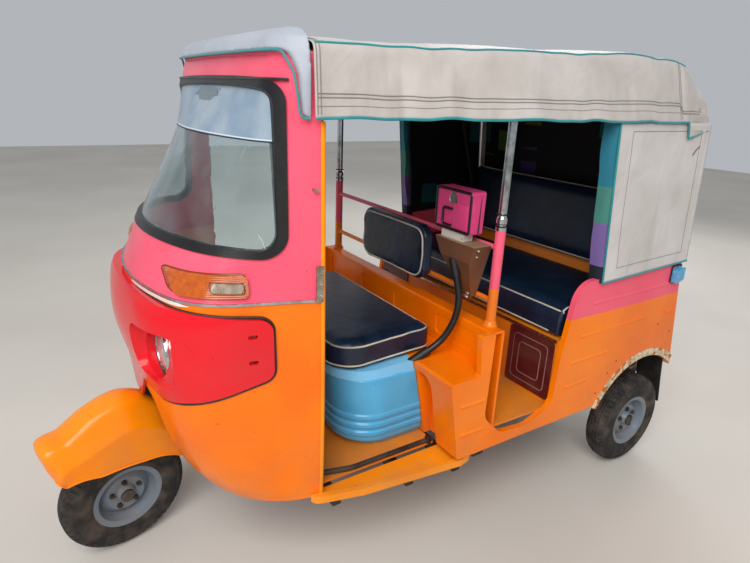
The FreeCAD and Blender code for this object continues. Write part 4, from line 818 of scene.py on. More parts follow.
def turned_out(piece, middle):
    """Turns a piece's faces so that most of them look away from that middle point."""
    mesh = piece.data
    count = len(mesh.polygons)
    centres, normals, areas = np.empty(count * 3), np.empty(count * 3), np.empty(count)
    mesh.polygons.foreach_get("center", centres)
    mesh.polygons.foreach_get("normal", normals)
    mesh.polygons.foreach_get("area", areas)
    away = ((centres.reshape(-1, 3) - np.asarray(middle)) * normals.reshape(-1, 3)).sum(1)
    if (away * areas).sum() < 0:
        mesh.flip_normals()
    return piece


def thickened(piece, thickness):
    """Gives a sheet its thickness behind its outer face."""
    solid = piece.modifiers.new("thickness", "SOLIDIFY")
    solid.thickness = thickness
    solid.offset = -1.0
    return piece


bowl_line = rounded([(0.168, 0.748, 0.04), (0.410, 0.748, 0.07), (0.410, 0.904, 0.05),
                     (0.168, 0.904, 0.04)], 0.006)
BORE = 0.0753
DRAWN_TO = 0.1262
LINED_TO = 0.1290
bowl_share = np.linspace(0, 1, 9)[:, None, None]
bowl_angle = np.arctan2(bowl_line[:, 1] - LAMP_Z, bowl_line[:, 0] - LAMP_X)
bowl_ring = np.stack([LAMP_X + BORE * np.cos(bowl_angle), LAMP_Z + BORE * np.sin(bowl_angle)], axis=1)
bowl_flat = bowl_line * (1 - bowl_share) + bowl_ring * bowl_share
bowl_front = skin_s(BEZEL_ROWS, bowl_flat[..., 0], bowl_flat[..., 1]) + 0.0008
bowl_back = skin_s(APRON_ROWS, bowl_flat[..., 0], bowl_flat[..., 1]) - 0.0015
bowl_drawn = bowl_front[:1] + (DRAWN_TO - bowl_front[:1]) * (1 - (1 - bowl_share[..., 0]) ** 1.7)
bowl_drawn = np.maximum(np.minimum(bowl_drawn, bowl_back), bowl_front)
bowl_grid = np.stack([bowl_flat[..., 0], bowl_drawn + AXLE_Y, bowl_flat[..., 1]], axis=-1)
bowl_lining = bowl_grid[-1:].copy()
bowl_lining[..., 1] = np.maximum(bowl_lining[..., 1], LINED_TO + AXLE_Y)
bowl_grid = np.concatenate([bowl_grid, bowl_lining])
bowl_left = turned_out(surface("lamp_bowl_left", bowl_grid, red_moulding), (0.3, 0.6, 0.8))
mirror_of(bowl_left, "lamp_bowl_right")

# Front fender. Thick sheet steel pressed into a ridged hood over the wheel, in fresh bright orange.
# It turns with the fork about the raked steering axis, and stands parked to the left.
FRONT_WHEEL_Z = 0.206753
RAKE = math.radians(18)
PARKED_TURN = math.radians(13)
STEER_AXIS = Vector((0, math.sin(RAKE), math.cos(RAKE)))
WHEEL_CENTRE = Vector((0, AXLE_Y, FRONT_WHEEL_Z))
PARKED = (Matrix.Translation(WHEEL_CENTRE) @ Matrix.Rotation(PARKED_TURN, 4, STEER_AXIS)
          @ Matrix.Translation(-WHEEL_CENTRE))


def parked(points):
    """Points drawn with the wheel straight ahead, turned with it to how it is parked."""
    turn = np.array(PARKED)
    return np.asarray(points, float) @ turn[:3, :3].T + turn[:3, 3]


# The angle from dead ahead in degrees; the radius at the crown, at the crease and at the lower edge
FENDER_ROWS = np.array([
    (44, 0.304, 0.292, 0.262), (51, 0.380, 0.302, 0.236), (62, 0.362, 0.286, 0.192),
    (77, 0.380, 0.284, 0.172), (93, 0.395, 0.298, 0.164), (108, 0.372, 0.290, 0.166),
    (126, 0.318, 0.268, 0.184), (150, 0.246, 0.232, 0.214)])
FENDER_HALF = 0.088
fender_rows = []
# Between those rows the sheet follows straight lines by 35 % and smooth ones by 65 %
for angle in np.linspace(FENDER_ROWS[0, 0], FENDER_ROWS[-1, 0], 96):
    crown, crease, low = (np.interp(angle, FENDER_ROWS[:, 0], FENDER_ROWS[:, i]) * 0.35
                          + eased(FENDER_ROWS[:, 0], FENDER_ROWS[:, i], np.array(angle)) * 0.65
                          for i in (1, 2, 3))
    section = rounded([(-FENDER_HALF, low, 0), (-FENDER_HALF, crease, 0.014), (-0.050, crown - 0.012, 0.03),
                       (0, crown, 0.12), (0.050, crown - 0.012, 0.03), (FENDER_HALF, crease, 0.014),
                       (FENDER_HALF, low, 0)], 0.003, closed=False)
    section = resampled(section, 72)
    t = math.radians(angle)
    fender_rows.append(np.stack([section[:, 0], AXLE_Y - section[:, 1] * math.cos(t),
                                 FRONT_WHEEL_Z + section[:, 1] * math.sin(t)], axis=1))
fender_enamel = enamel("bright_fender_enamel", "#ff9a10", "#ff8600")
fender = turned_out(surface("front_fender_sheet", parked(np.array(fender_rows)), fender_enamel,
                            "steering"), WHEEL_CENTRE)
thickened(fender, 0.004)
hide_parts("front_fender")
fender_edges = []
for columns, rows in ((0, slice(None)), (-1, slice(None)), (slice(None), 0), (slice(None), -1)):
    edge = np.array(fender_rows)[rows, columns]
    fender_edges.append(cord_along("edge", parked(edge), 0.0034, fender_enamel, "steering",
                                   up=(1, 0, 0) if isinstance(columns, int) else (0, 1, 0), count=8))
joined("fender_edge_bead", fender_edges)

# Wheels. Round-shouldered cross-ply tyres on pressed disc wheels with drums behind. The discs are in
# grey enamel with traces of blue, and each is held by five nuts round a greasy hub cap.
TYRE_LINE = [(0.116, 0.042, 0), (0.132, 0.048, 0.02), (0.160, 0.050, 0.05), (0.186, 0.045, 0.04),
             (0.199, 0.035, 0.02), (0.206, 0.018, 0.03), (0.206, -0.018, 0.03), (0.199, -0.035, 0.02),
             (0.186, -0.045, 0.04), (0.160, -0.050, 0.05), (0.132, -0.048, 0.02), (0.116, -0.042, 0)]
# Tyre rubber: black, matt, browned by road dust in patches
tyre_rubber, tyre_tree, tyre_shader, tyre_spot = finish_of("dusty_tyre_rubber", 0.78, IOR=1.5)
tyre_dirt = mottled(tyre_tree, tyre_spot, "#1a1715", "#4a4036", 0.05, 0.4, 0.7)
tyre_tree.links.new(tyre_dirt, tyre_shader.inputs["Base Color"])
roughened(tyre_tree, tyre_shader, tyre_spot, 0.003, 0.0004)
TYRE_STEPS, TYRE_POINTS = 432, 150
GROOVE_DEPTH = 0.0042


def tyre_grid():
    """A tyre on an axle along X at the origin: its half section swept round, with three zigzag
    grooves, cross slots at the shoulders and rings moulded on the walls, all cut inwards."""
    section = resampled(rounded(TYRE_LINE, 0.002, closed=False), TYRE_POINTS)
    radius, across = section[:, 0], section[:, 1]
    normal = np.gradient(section, axis=0)
    normal = np.stack([normal[:, 1], -normal[:, 0]], axis=1)
    normal /= np.linalg.norm(normal, axis=1, keepdims=True)
    normal *= np.sign((normal * (section - (0.155, 0))).sum(1))[:, None]
    turn = np.linspace(0, 2 * math.pi, TYRE_STEPS + 1)[:, None]
    tread = np.clip((radius - 0.1915) / 0.004, 0, 1)[None]
    zigzag = 0.0022 * np.sign(np.sin(54 * turn)) * np.minimum(1, 3 * np.abs(np.sin(54 * turn)))
    depth = np.zeros((TYRE_STEPS + 1, TYRE_POINTS))
    for line in (-0.0165, 0.0, 0.0165):
        depth += np.exp(-(((across[None] - line - zigzag) / 0.0019) ** 4)) * tread
    # Cross slots, those of one shoulder set off against those of the other
    lug = (np.abs(np.sin(27 * turn + 0.6 * np.sign(across)[None])) < 0.32)
    depth += lug * np.clip((np.abs(across[None]) - 0.024) / 0.003, 0, 1) * np.clip(
        (radius - 0.183) / 0.004, 0, 1)[None]
    depth = np.minimum(depth, 1) * GROOVE_DEPTH
    # Fine rings in the walls
    for ring_radius in (0.135, 0.142, 0.176):
        depth += 0.0012 * np.exp(-(((radius[None] - ring_radius) / 0.0012) ** 2))
    radius = radius[None] - depth * normal[None, :, 0]
    across = across[None] - depth * normal[None, :, 1]
    return np.stack([np.broadcast_to(across, radius.shape), radius * np.cos(turn),
                     radius * np.sin(turn)], axis=-1)


def nut(size, height):
    """The profile of a six-sided nut under a rounded end of its stud."""
    return [(-0.004, size), (height, size), (height + 0.0008, size * 0.82),
            (height + 0.0008, size * 0.55), (height + 0.005, size * 0.5), (height + 0.006, size * 0.2)]


wheel_enamel = enamel("grey_wheel_enamel", "#76797c", "#6d7b86", gloss=0.45, dusty_below=0.5)
nut_steel = bare_metal("oiled_nut_steel", "#6e6760", "#453d36", 0.45)
NUT_CIRCLE = 0.048
REAR_WHEEL_X = 0.580
REAR_AXLE_Y = 2.0 + AXLE_Y
REAR_AXLE_Z = 0.206
WHEELS = [("front", (0, AXLE_Y, FRONT_WHEEL_Z), 1, "front_wheel", "front_tyre", "front_rim"),
          ("rear_left", (REAR_WHEEL_X, REAR_AXLE_Y, REAR_AXLE_Z), 1,
           "rear_wheel_left", "rear_tyre_left", "rear_rim_left"),
          ("rear_right", (-REAR_WHEEL_X, REAR_AXLE_Y, REAR_AXLE_Z), -1,
           "rear_wheel_right", "rear_tyre_right", "rear_rim_right")]
for wheel_name, place, side, body, tyre_node, rim_node in WHEELS:
    grid = tyre_grid() + np.array(place)
    if wheel_name == "front":
        grid = parked(grid)
    tyre = surface(wheel_name + "_tyre_rubber", grid, tyre_rubber, body)
    turned_out(tyre, parked([place])[0] if wheel_name == "front" else place)
    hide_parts(tyre_node)
    wear(rim_node, wheel_enamel)
    hub = np.array(place)
    bolts = [revolved("cap", [(0.030, 0.0245), (0.0385, 0.0235), (0.0425, 0.018), (0.0435, 0.008)], hub,
                      (side, 0, 0), nut_steel, body, 32)]
    for i in range(5):
        t = 2 * math.pi * (i + 0.3) / 5
        place_on_disc = hub + (side * 0.0185, NUT_CIRCLE * math.cos(t), NUT_CIRCLE * math.sin(t))
        bolts.append(revolved("nut", nut(0.0095, 0.008), place_on_disc, (side, 0, 0), nut_steel, body, 6))
    bolts = joined(wheel_name + "_wheel_nuts", bolts)
    if wheel_name == "front":
        bolts.data.transform(PARKED)

# Fork and handlebar. Black enamelled steel; ribbed rubber grips with a lever before each, and a
# small switch box on the left bar.
fork_enamel = enamel("black_fork_enamel", "#121214", "#232120", gloss=0.35, dusty_below=0.6)
wear("front_fork", fork_enamel)
wear("handlebar", fork_enamel)
grip_rubber = rubber("ribbed_grip_rubber", "#0d0d0e", "#222120", 0.6, 0.002)
BAR_HEAD = np.array(WHEEL_CENTRE) + np.array(STEER_AXIS) * 0.802
GRIP_TURN = math.radians(34)
RIB_STEP = 0.005
grip_ribs = [(0.0, 0.021), (0.003, 0.0215), (0.004, 0.0175)]
for i in range(22):
    grip_ribs += [(0.006 + i * RIB_STEP, 0.0178), (0.0082 + i * RIB_STEP, 0.0166)]
grip_ribs += [(0.118, 0.0185), (0.123, 0.0175), (0.125, 0.008)]
grips, levers = [], []
for side in (1, -1):
    way = np.array([side * math.cos(GRIP_TURN), math.sin(GRIP_TURN), 0])
    start = BAR_HEAD + np.array([side * 0.040, 0, 0]) + way * 0.102
    grips.append(revolved("grip", grip_ribs, parked([start])[0], parked([way])[0] - parked([(0, 0, 0)])[0],
                          grip_rubber, "steering", 28))
    ahead = np.cross((0, 0, side), way)
    ahead = ahead if ahead[1] < 0 else -ahead
    lever_line = [start + way * d + ahead * a + np.array([0, 0, -h]) for d, a, h in (
        (-0.030, 0.012, 0.004), (-0.020, 0.026, 0.008), (0.000, 0.032, 0.010), (0.045, 0.033, 0.012),
        (0.085, 0.031, 0.012), (0.105, 0.028, 0.012))]
    levers.append(cord_along("lever", parked(resampled(np.array(lever_line), 28)), 0.0062, nut_steel,
                             "steering", count=10, squash=0.55))
joined("handle_grips", grips)
joined("handle_levers", levers)
switch_place = BAR_HEAD + np.array([0.072, 0.020, 0.0])
switch_way = parked([(math.cos(GRIP_TURN), math.sin(GRIP_TURN), 0)])[0] - parked([(0, 0, 0)])[0]
revolved("switch_box", [(-0.020, 0.012), (-0.019, 0.0175), (0.019, 0.0175), (0.020, 0.012)],
         parked([switch_place])[0], switch_way, black_plastic, "steering", 20)

# Chassis, floors and step boards. The ladder frame and foot rails are black enamelled steel, the
# rails on rubber feet; the pressed floors and step boards are orange, the floors dulled by dust.
frame_enamel = enamel("black_frame_enamel", "#18171a", "#2a2724", gloss=0.5, dusty_below=1.2)
floor_enamel = enamel("worn_floor_enamel", "#f08a1c", "#c9742a", gloss=0.45, dusty_below=1.4)
wear("chassis_frame", frame_enamel)
wear("foot_rails", frame_enamel)
wear("floor_pan", floor_enamel)
wear("step_boards", enamel("bright_step_enamel", "#ff9c18", "#f08812", gloss=0.3))
rail_feet = []
for side in (1, -1):
    for x, s in ((0.449, 0.530), (0.476, 0.955)):
        rail_feet.append(revolved("foot", [(0, 0.013), (0.004, 0.014), (0.020, 0.0105), (0.026, 0.0095)],
                                  (side * x, s + AXLE_Y, 0.352 + 0.013), (0, 0, 1), gland_rubber, count=16))
joined("foot_rail_mounts", rail_feet)

# Tub. Welded sheet steel sides, wall and hood, orange below a hand-cut line and pink above it. The
# wheel arches show a peeling lip of cream primer.
TUB_PINK_FROM_Z = 0.793
TUB_PINK_FROM_S = 1.3
tub_enamel = enamel("two_colour_tub_enamel", "#ff8204", "#f06e00", PINK, PINK_FADED,
                    seam=TUB_PINK_FROM_Z, behind=TUB_PINK_FROM_S + AXLE_Y)
wear("tub_left", tub_enamel)
wear("tub_right", tub_enamel)
wear("rear_wall", tub_enamel)
wear("engine_hood", tub_enamel)
wear("wheelhouses", enamel("inner_arch_enamel", "#7c4a1e", "#5b4433", gloss=0.6, dusty_below=1.2))
wear("partition", orange_enamel)
wear("bench_base", enamel("inner_orange_enamel", "#f58a14", "#e27412", gloss=0.35, dusty_below=1.0))
maroon_enamel = enamel("maroon_panel_enamel", "#4b1119", "#5c1a1e", gloss=0.35, dusty_below=0.9)
wear("access_panels", maroon_enamel)

# Old primer: chalky cream, broken by patches where it has peeled off the orange
primer, primer_tree, primer_shader, primer_spot = finish_of("peeling_cream_primer", 0.65)
peel = add(primer_tree, "ShaderNodeTexNoise", {"Vector": primer_spot, "Scale": 30.0, "Detail": 6.0})
peeled = add(primer_tree, "ShaderNodeMath", {0: peel.outputs[0], 1: 0.56}, operation="GREATER_THAN")
primer_colour = add(primer_tree, "ShaderNodeMix", {
    0: peeled.outputs[0], 6: mottled(primer_tree, primer_spot, "#e3d3b4", "#b99f7d", 0.02),
    7: linear("#b9671a")}, data_type="RGBA")
primer_tree.links.new(primer_colour.outputs[2], primer_shader.inputs["Base Color"])
primer_bump = add(primer_tree, "ShaderNodeBump", {"Height": peeled.outputs[0], "Distance": 0.0008})
primer_tree.links.new(primer_bump.outputs[0], primer_shader.inputs["Normal"])
ARCH_RADIUS = 0.335
TUB_SKIN_X = 0.6262
ARCH_STEPS = 70
arch_angle = np.radians(np.linspace(27, 129, ARCH_STEPS))
arch_line = np.stack([np.full(ARCH_STEPS, TUB_SKIN_X), REAR_AXLE_Y - ARCH_RADIUS * np.cos(arch_angle),
                      REAR_AXLE_Z + ARCH_RADIUS * np.sin(arch_angle)], axis=1)
arch_side = np.stack([np.zeros(ARCH_STEPS), -np.cos(arch_angle), np.sin(arch_angle)], axis=1)
lip_profile = [(-0.0165, -0.014), (-0.0165, 0.0004), (0.0, 0.0016), (0.0165, 0.0006), (0.0165, -0.003)]
lip_grid = arch_line[:, None] + np.stack(
    [arch_side * across + np.array([out, 0, 0]) for across, out in lip_profile], axis=1)
arch_lip_left = turned_out(surface("arch_lip_left", lip_grid, primer, around=True, capped=True),
                           (0.5, REAR_AXLE_Y, 0.4))
mirror_of(arch_lip_left, "arch_lip_right")

# Sill trim and panel rings. A bright strip covers the bench's front edge below the cushion, and each
# maroon access panel has two pressed rings worn to bare metal along their crests.
sill_line = [(x, 1.4475 + AXLE_Y, 0.7045) for x in np.linspace(-0.590, 0.590, 60)]
SILL_PROFILE = [(0.0, -0.012), (0.003, -0.011), (0.0042, -0.006), (0.0042, 0.0), (0.0, 0.0005)]
surface("bench_front_trim", carried(sill_line, SILL_PROFILE), bright_trim, around=True, capped=True)
worn_edge = enamel("worn_maroon_edge", "#8d6f6a", "#6b2a2a", gloss=0.35, dusty_below=0.9)
panel_rings = []
for side in (1, -1):
    for inset, radius in ((0.026, 0.016), (0.056, 0.016)):
        outline = rounded([(0.360 + inset, 0.448 + inset, radius), (0.582 - inset, 0.448 + inset, radius),
                           (0.582 - inset, 0.690 - inset, radius), (0.360 + inset, 0.690 - inset, radius)],
                          0.006)
        ring_line = np.stack([side * outline[:, 0], np.full(len(outline), 1.4437 + AXLE_Y),
                              outline[:, 1]], axis=1)
        panel_rings.append(cord_along("ring", ring_line, 0.0022, worn_edge, up=(0, 1, 0), count=8))
joined("access_panel_rings", panel_rings)

# Posts. Pink tubes with cross bars stand on the partition, orange at their feet, with plated uppers
# that end in banded collars.
post_enamel = enamel("two_colour_post_enamel", "#f5861a", "#e0701a", "#f2607a", "#e2506c", seam=0.945,
                     dusty_below=0.8)
wear("post_frame", post_enamel)
wear("chrome_posts", plated)
POST_X, POST_Y = 0.538, 1.139 + AXLE_Y
post_bands = []
for side in (1, -1):
    for z in (1.1595, 1.1985):
        post_bands.append(revolved("band", [(-0.0022, 0.0158), (-0.0018, 0.0186), (0.0018, 0.0186),
                                            (0.0022, 0.0158)], (side * POST_X, POST_Y, z),
                                   (0, 0, 1), black_plastic, count=24))
    post_bands.append(revolved("foot", [(0, 0.026), (0.003, 0.026), (0.006, 0.022), (0.016, 0.0195),
                                        (0.018, 0.017)], (side * POST_X, POST_Y, 0.812),
                               (0, 0, 1), post_enamel, count=24))
joined("post_collars", post_bands)

# Seat base. A skirt pressed from sheet steel with rounded ribs, in light blue enamel, bolted down
# under the driver's cushion.
# The paler blue above 0.634 m is a painted highlight along the top of the skirt; the skirt itself is one
# blue.
skirt_blue_and_painted_highlight = enamel("light_blue_skirt_enamel_and_painted_highlight", "#4fa5d0", "#6fbfe6", "#7cc4ec", "#8accf0", seam=0.634,
                     gloss=0.2, dusty_below=0.55)
wear("driver_seat_base", skirt_blue_and_painted_highlight)

# Seats. Navy vinyl covers sewn over foam, crowned, with cream piping along their seams. Each pad
# starts from its solid and is blown up as a closed cloth bag; the cushions keep their flat foot.


def vinyl(name, deep, worn, grain=0.0011, roughness=0.42):
    """Leather-cloth vinyl: a smooth plastic coat with a fine pebble grain, scuffed paler in broad
    patches, and soft wrinkles that run in no one direction."""
    material, tree, shader, spot = finish_of(name, roughness, IOR=1.5, Coat_Weight=0.1,
                                             Coat_Roughness=0.25)
    tree.links.new(mottled(tree, spot, deep, worn, 0.11, 0.4, 0.75, 7.0), shader.inputs["Base Color"])
    pebble = add(tree, "ShaderNodeTexVoronoi", {"Vector": spot, "Scale": 1 / grain})
    fold = add(tree, "ShaderNodeTexNoise", {"Vector": spot, "Scale": 16.0, "Detail": 3.0,
                                            "Distortion": 0.6})
    folds = add(tree, "ShaderNodeBump", {"Height": fold.outputs[0], "Distance": 0.006, "Strength": 0.6})
    skin = add(tree, "ShaderNodeBump", {"Height": pebble.outputs[0], "Distance": 0.0002,
                                        "Strength": 0.6, "Normal": folds.outputs[0]})
    tree.links.new(skin.outputs[0], shader.inputs["Normal"])
    return material


def stuffed(name, node, material, drawn_in, cap, foot=None, voxel=0.006,
            blown=True):
    """A stuffed pad from a CAD node's solid: drawn in by so much on every side, remeshed, blown up
    as cloth with no point moved more than cap, and given one subdivision. foot keeps the pad's
    points above that height. When blown is false the blowing up is left out and the pad is eased smooth."""
    mesh = nodes[node].data.copy()
    mesh.materials.clear()
    welded = bmesh.new()
    welded.from_mesh(mesh)
    bmesh.ops.remove_doubles(welded, verts=welded.verts, dist=1e-5)
    welded.to_mesh(mesh)
    welded.free()
    points = np.empty(len(mesh.vertices) * 3)
    mesh.vertices.foreach_get("co", points)
    points = points.reshape(-1, 3)
    low, high = points.min(0), points.max(0)
    middle = (low + high) / 2
    points = middle + (points - middle) * (1 - 2 * drawn_in / (high - low))
    mesh.vertices.foreach_set("co", points.ravel())
    pad = bpy.data.objects.new(name, mesh)
    bpy.context.scene.collection.objects.link(pad)
    remesh = pad.modifiers.new("remesh", "REMESH")
    remesh.mode = "VOXEL"
    remesh.voxel_size = voxel
    remesh.use_smooth_shade = True
    bpy.context.view_layer.update()
    cut = bpy.data.meshes.new_from_object(pad.evaluated_get(bpy.context.evaluated_depsgraph_get()))
    pad.modifiers.clear()
    pad.data = cut
    count = len(cut.vertices)
    start = np.empty(count * 3)
    cut.vertices.foreach_get("co", start)
    start = start.reshape(-1, 3)
    ended = start
    if blown:
        cloth = pad.modifiers.new("cloth", "CLOTH")
        cloth.settings.use_pressure = True
        cloth.settings.uniform_pressure_force = 4.0
        cloth.settings.effector_weights.gravity = 0.0
        cloth.settings.mass = 0.3
        cloth.settings.quality = 4
        for step in range(1, 21):
            bpy.context.scene.frame_set(step)
        swollen = pad.evaluated_get(bpy.context.evaluated_depsgraph_get()).data
        ended = np.empty(count * 3)
        swollen.vertices.foreach_get("co", ended)
        ended = ended.reshape(-1, 3)
        pad.modifiers.clear()
        bpy.context.scene.frame_set(1)
    moved = ended - start
    length = np.maximum(np.linalg.norm(moved, axis=1, keepdims=True), 1e-9)
    ended = start + moved / length * (cap * np.tanh(length / cap))
    if foot is not None:
        ended[:, 2] = np.maximum(ended[:, 2], foot)
    cut.vertices.foreach_set("co", ended.ravel())
    cut.polygons.foreach_set("use_smooth", np.ones(len(cut.polygons), bool))
    cut.materials.clear()
    cut.materials.append(material)
    cut.update()
    if not blown:
        ease = pad.modifiers.new("ease", "SMOOTH")
        ease.iterations = 6
    finer = pad.modifiers.new("finer", "SUBSURF")
    finer.levels = finer.render_levels = 1
    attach(pad, "root")
    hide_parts(node)
    return pad


def on_pad(pad, points, towards, lift=0.0):
    """The points where lines from outside meet the pad, each from its point in the direction
    towards, moved back out by lift. Points that miss the pad are left out."""
    surface_mesh = pad.evaluated_get(bpy.context.evaluated_depsgraph_get()).to_mesh()
    lookup = bmesh.new()
    lookup.from_mesh(surface_mesh)
    tree = BVHTree.FromBMesh(lookup)
    lookup.free()
    found = []
    for point, way in zip(points, towards):
        way = Vector(way).normalized()
        hit = tree.ray_cast(Vector(point), way)[0]
        if hit is not None:
            found.append(hit - way * lift)
    return np.array(found)


navy_vinyl = vinyl("navy_seat_vinyl", "#06182c", "#0d2944")
cream_piping = vinyl("cream_piping_vinyl", "#cfc7b4", "#9d9788", roughness=0.5)
driver_cushion = stuffed("driver_cushion_pad", "driver_cushion", navy_vinyl, drawn_in=0.007, cap=0.012,
                         foot=0.6725, voxel=0.0068)
driver_backrest = stuffed("driver_backrest_pad", "driver_backrest", navy_vinyl, drawn_in=0.006,
                          cap=0.008)
bench_cushion = stuffed("bench_cushion_pad", "bench_cushion", navy_vinyl, drawn_in=0.008, cap=0.014,
                        foot=0.7055, voxel=0.0095)
bench_back = stuffed("bench_back_pad", "bench_back", navy_vinyl, drawn_in=0.008, cap=0.013,
                     voxel=0.008)


PIPING_RADIUS = 0.0032
PROBE_REACH = 0.25


def pad_piping(name, pad, outline, plane, inward):
    """Piping sewn round a pad along an outline, which is found on the pad from outside: towards the
    outline's middle within its plane, or for all points in the direction inward."""
    outline = np.asarray(outline, float)
    middle = outline.mean(0)
    ways = middle - outline
    ways[:, plane] = 0
    starts = outline - ways / np.linalg.norm(ways, axis=1, keepdims=True) * PROBE_REACH
    if inward is not None:
        ways = np.tile(np.asarray(inward, float), (len(outline), 1))
        starts = outline - ways * PROBE_REACH
    line = on_pad(pad, starts, ways, PIPING_RADIUS * 0.35)
    line = smoothed(line, 4)
    line = np.vstack([line, line[:1]])
    up = (0, 0, 1) if plane == 2 else (0, 1, 0)
    return cord_along(name, line, PIPING_RADIUS, cream_piping, up=up)


cushion_outline = rounded([(-0.408, 0.614, 0.10), (0.408, 0.614, 0.10), (0.376, 1.044, 0.05),
                           (-0.376, 1.044, 0.05)], 0.01)
cushion_ring = np.stack([cushion_outline[:, 0], cushion_outline[:, 1] + AXLE_Y,
                         np.full(len(cushion_outline), 0.7585)], axis=1)
pad_piping("driver_cushion_piping", driver_cushion, cushion_ring, 2, None)
cushion_foot_ring = cushion_ring + np.array([0, 0, -0.068])
pad_piping("driver_cushion_foot_piping", driver_cushion, cushion_foot_ring, 2, None)

back_outline = rounded([(-0.208, 0.890, 0.045), (0.208, 0.890, 0.045), (0.208, 1.078, 0.045),
                        (-0.208, 1.078, 0.045)], 0.008)
back_ring = np.stack([back_outline[:, 0], np.full(len(back_outline), 1.08 + AXLE_Y),
                      back_outline[:, 1]], axis=1)
pad_piping("driver_backrest_piping", driver_backrest, back_ring, 1, (0, 1, 0))

# Bench piping. A welt runs along the cushion's top front edge and its foot, and another along the
# top of the back, with sewn seams that part the covers into three.


def welt_along(pad, line, way):
    """A welt along an open line on a pad, found from outside in the given direction."""
    way = np.asarray(way, float)
    line = np.asarray(line, float)
    found = on_pad(pad, line - way * PROBE_REACH, np.tile(way, (len(line), 1)), PIPING_RADIUS * 0.3)
    return cord_along("welt", smoothed(found, closed=False), PIPING_RADIUS, cream_piping, up=(0, 0.3, 1))


bench_x = np.linspace(-0.580, 0.580, 90)
bench_welts = [
    welt_along(bench_cushion, [(x, 1.46 + AXLE_Y, 0.818) for x in bench_x], (0, 0.8, -0.6)),
    welt_along(bench_cushion, [(x, 1.44 + AXLE_Y, 0.722) for x in bench_x], (0, 1, 0.1))]
for x in (-0.575, 0.575):
    welt_s = np.linspace(1.47, 1.90, 40)
    bench_welts.append(welt_along(bench_cushion, [(x, s + AXLE_Y, 0.84) for s in welt_s], (0, 0, -1)))
joined("bench_cushion_piping", bench_welts)
back_x = np.linspace(-0.520, 0.520, 80)
joined("bench_back_piping", [
    welt_along(bench_back, [(x, 2.03 + AXLE_Y, 1.192) for x in back_x], (0, 0.7, -0.7)),
    welt_along(bench_back, [(x, 1.95 + AXLE_Y, 0.872) for x in back_x], (0, 1, 0.2))])

# Canopy roof. One sheet of grey coated canvas, laced over the hoops. It dips a little between them,
# is taut across them, and its skirts hang free below the shoulders with stitched, teal-bound edges.


def canvas(name, pale, stained, streak="#8f867c", weave=0.0016, roughness=0.5):
    """PVC-coated canvas: a satin coat through which the weave shows, pale with grey stains and
    faint streaks where rain has run down, and with small soft creases."""
    material, tree, shader, spot = finish_of(name, roughness, Sheen_Weight=0.15, Sheen_Roughness=0.5)
    colour = mottled(tree, spot, pale, stained, 0.22, 0.35, 0.75, 8.0)
    tall = add(tree, "ShaderNodeMapping", {0: spot, 3: (14.0, 14.0, 1.6)})
    run = add(tree, "ShaderNodeTexNoise", {"Vector": tall.outputs[0], "Scale": 1.0, "Detail": 6.0})
    share = add(tree, "ShaderNodeMapRange", {0: run.outputs[0], 1: 0.56, 2: 0.85, 4: 0.55})
    colour = add(tree, "ShaderNodeMix", {0: share.outputs[0], 6: colour, 7: linear(streak)},
                 data_type="RGBA").outputs[2]
    tree.links.new(colour, shader.inputs["Base Color"])
    along = add(tree, "ShaderNodeTexWave", {"Vector": spot, "Scale": 0.31 / weave}, bands_direction="Y")
    across = add(tree, "ShaderNodeTexWave", {"Vector": spot, "Scale": 0.31 / weave}, bands_direction="Z")
    cloth = add(tree, "ShaderNodeMath", {0: along.outputs[1], 1: across.outputs[1]}, operation="ADD")
    crease = add(tree, "ShaderNodeTexNoise", {"Vector": spot, "Scale": 7.0, "Detail": 5.0,
                                              "Distortion": 1.2})
    creases = add(tree, "ShaderNodeBump", {"Height": crease.outputs[0], "Distance": 0.012,
                                           "Strength": 0.45})
    skin = add(tree, "ShaderNodeBump", {"Height": cloth.outputs[0], "Distance": 0.0002,
                                        "Strength": 0.35, "Normal": creases.outputs[0]})
    tree.links.new(skin.outputs[0], shader.inputs["Normal"])
    return material


grey_canvas = canvas("grey_coated_canvas", "#c4bcb5", "#a89f98")
quarter_canvas = canvas("pale_quarter_canvas", "#d4cecb", "#beb6b0")
teal_binding = canvas("teal_edge_binding", "#127f86", "#1b9596", "#0d5a60", 0.001)
seam_thread = canvas("grey_seam_thread", "#8b857f", "#77716b", weave=0.001)

# s; the crown's height; x and z of the shoulder; x and z of the lower edge
CANOPY_ROWS = np.array([
    (0.478, 1.702, 0.512, 1.662, 0.526, 1.487), (1.139, 1.718, 0.575, 1.684, 0.645, 1.494),
    (1.880, 1.726, 0.585, 1.698, 0.645, 1.491), (1.926, 1.719, 0.590, 1.686, 0.645, 1.490),
    (1.946, 1.712, 0.592, 1.676, 0.645, 1.430), (2.005, 1.678, 0.596, 1.634, 0.645, 1.443),
    (2.080, 1.612, 0.600, 1.584, 0.640, 1.462), (2.108, 1.562, 0.596, 1.536, 0.632, 1.468)])
HOOP_S = [0.478, 1.139, 1.620, 1.880, 2.108]
SHOULDER = 0.72
CANOPY_S = np.unique(np.concatenate([np.linspace(0.478, 1.88, 118), np.linspace(1.88, 2.108, 58)]))
CANOPY_U = np.linspace(-1, 1, 161)


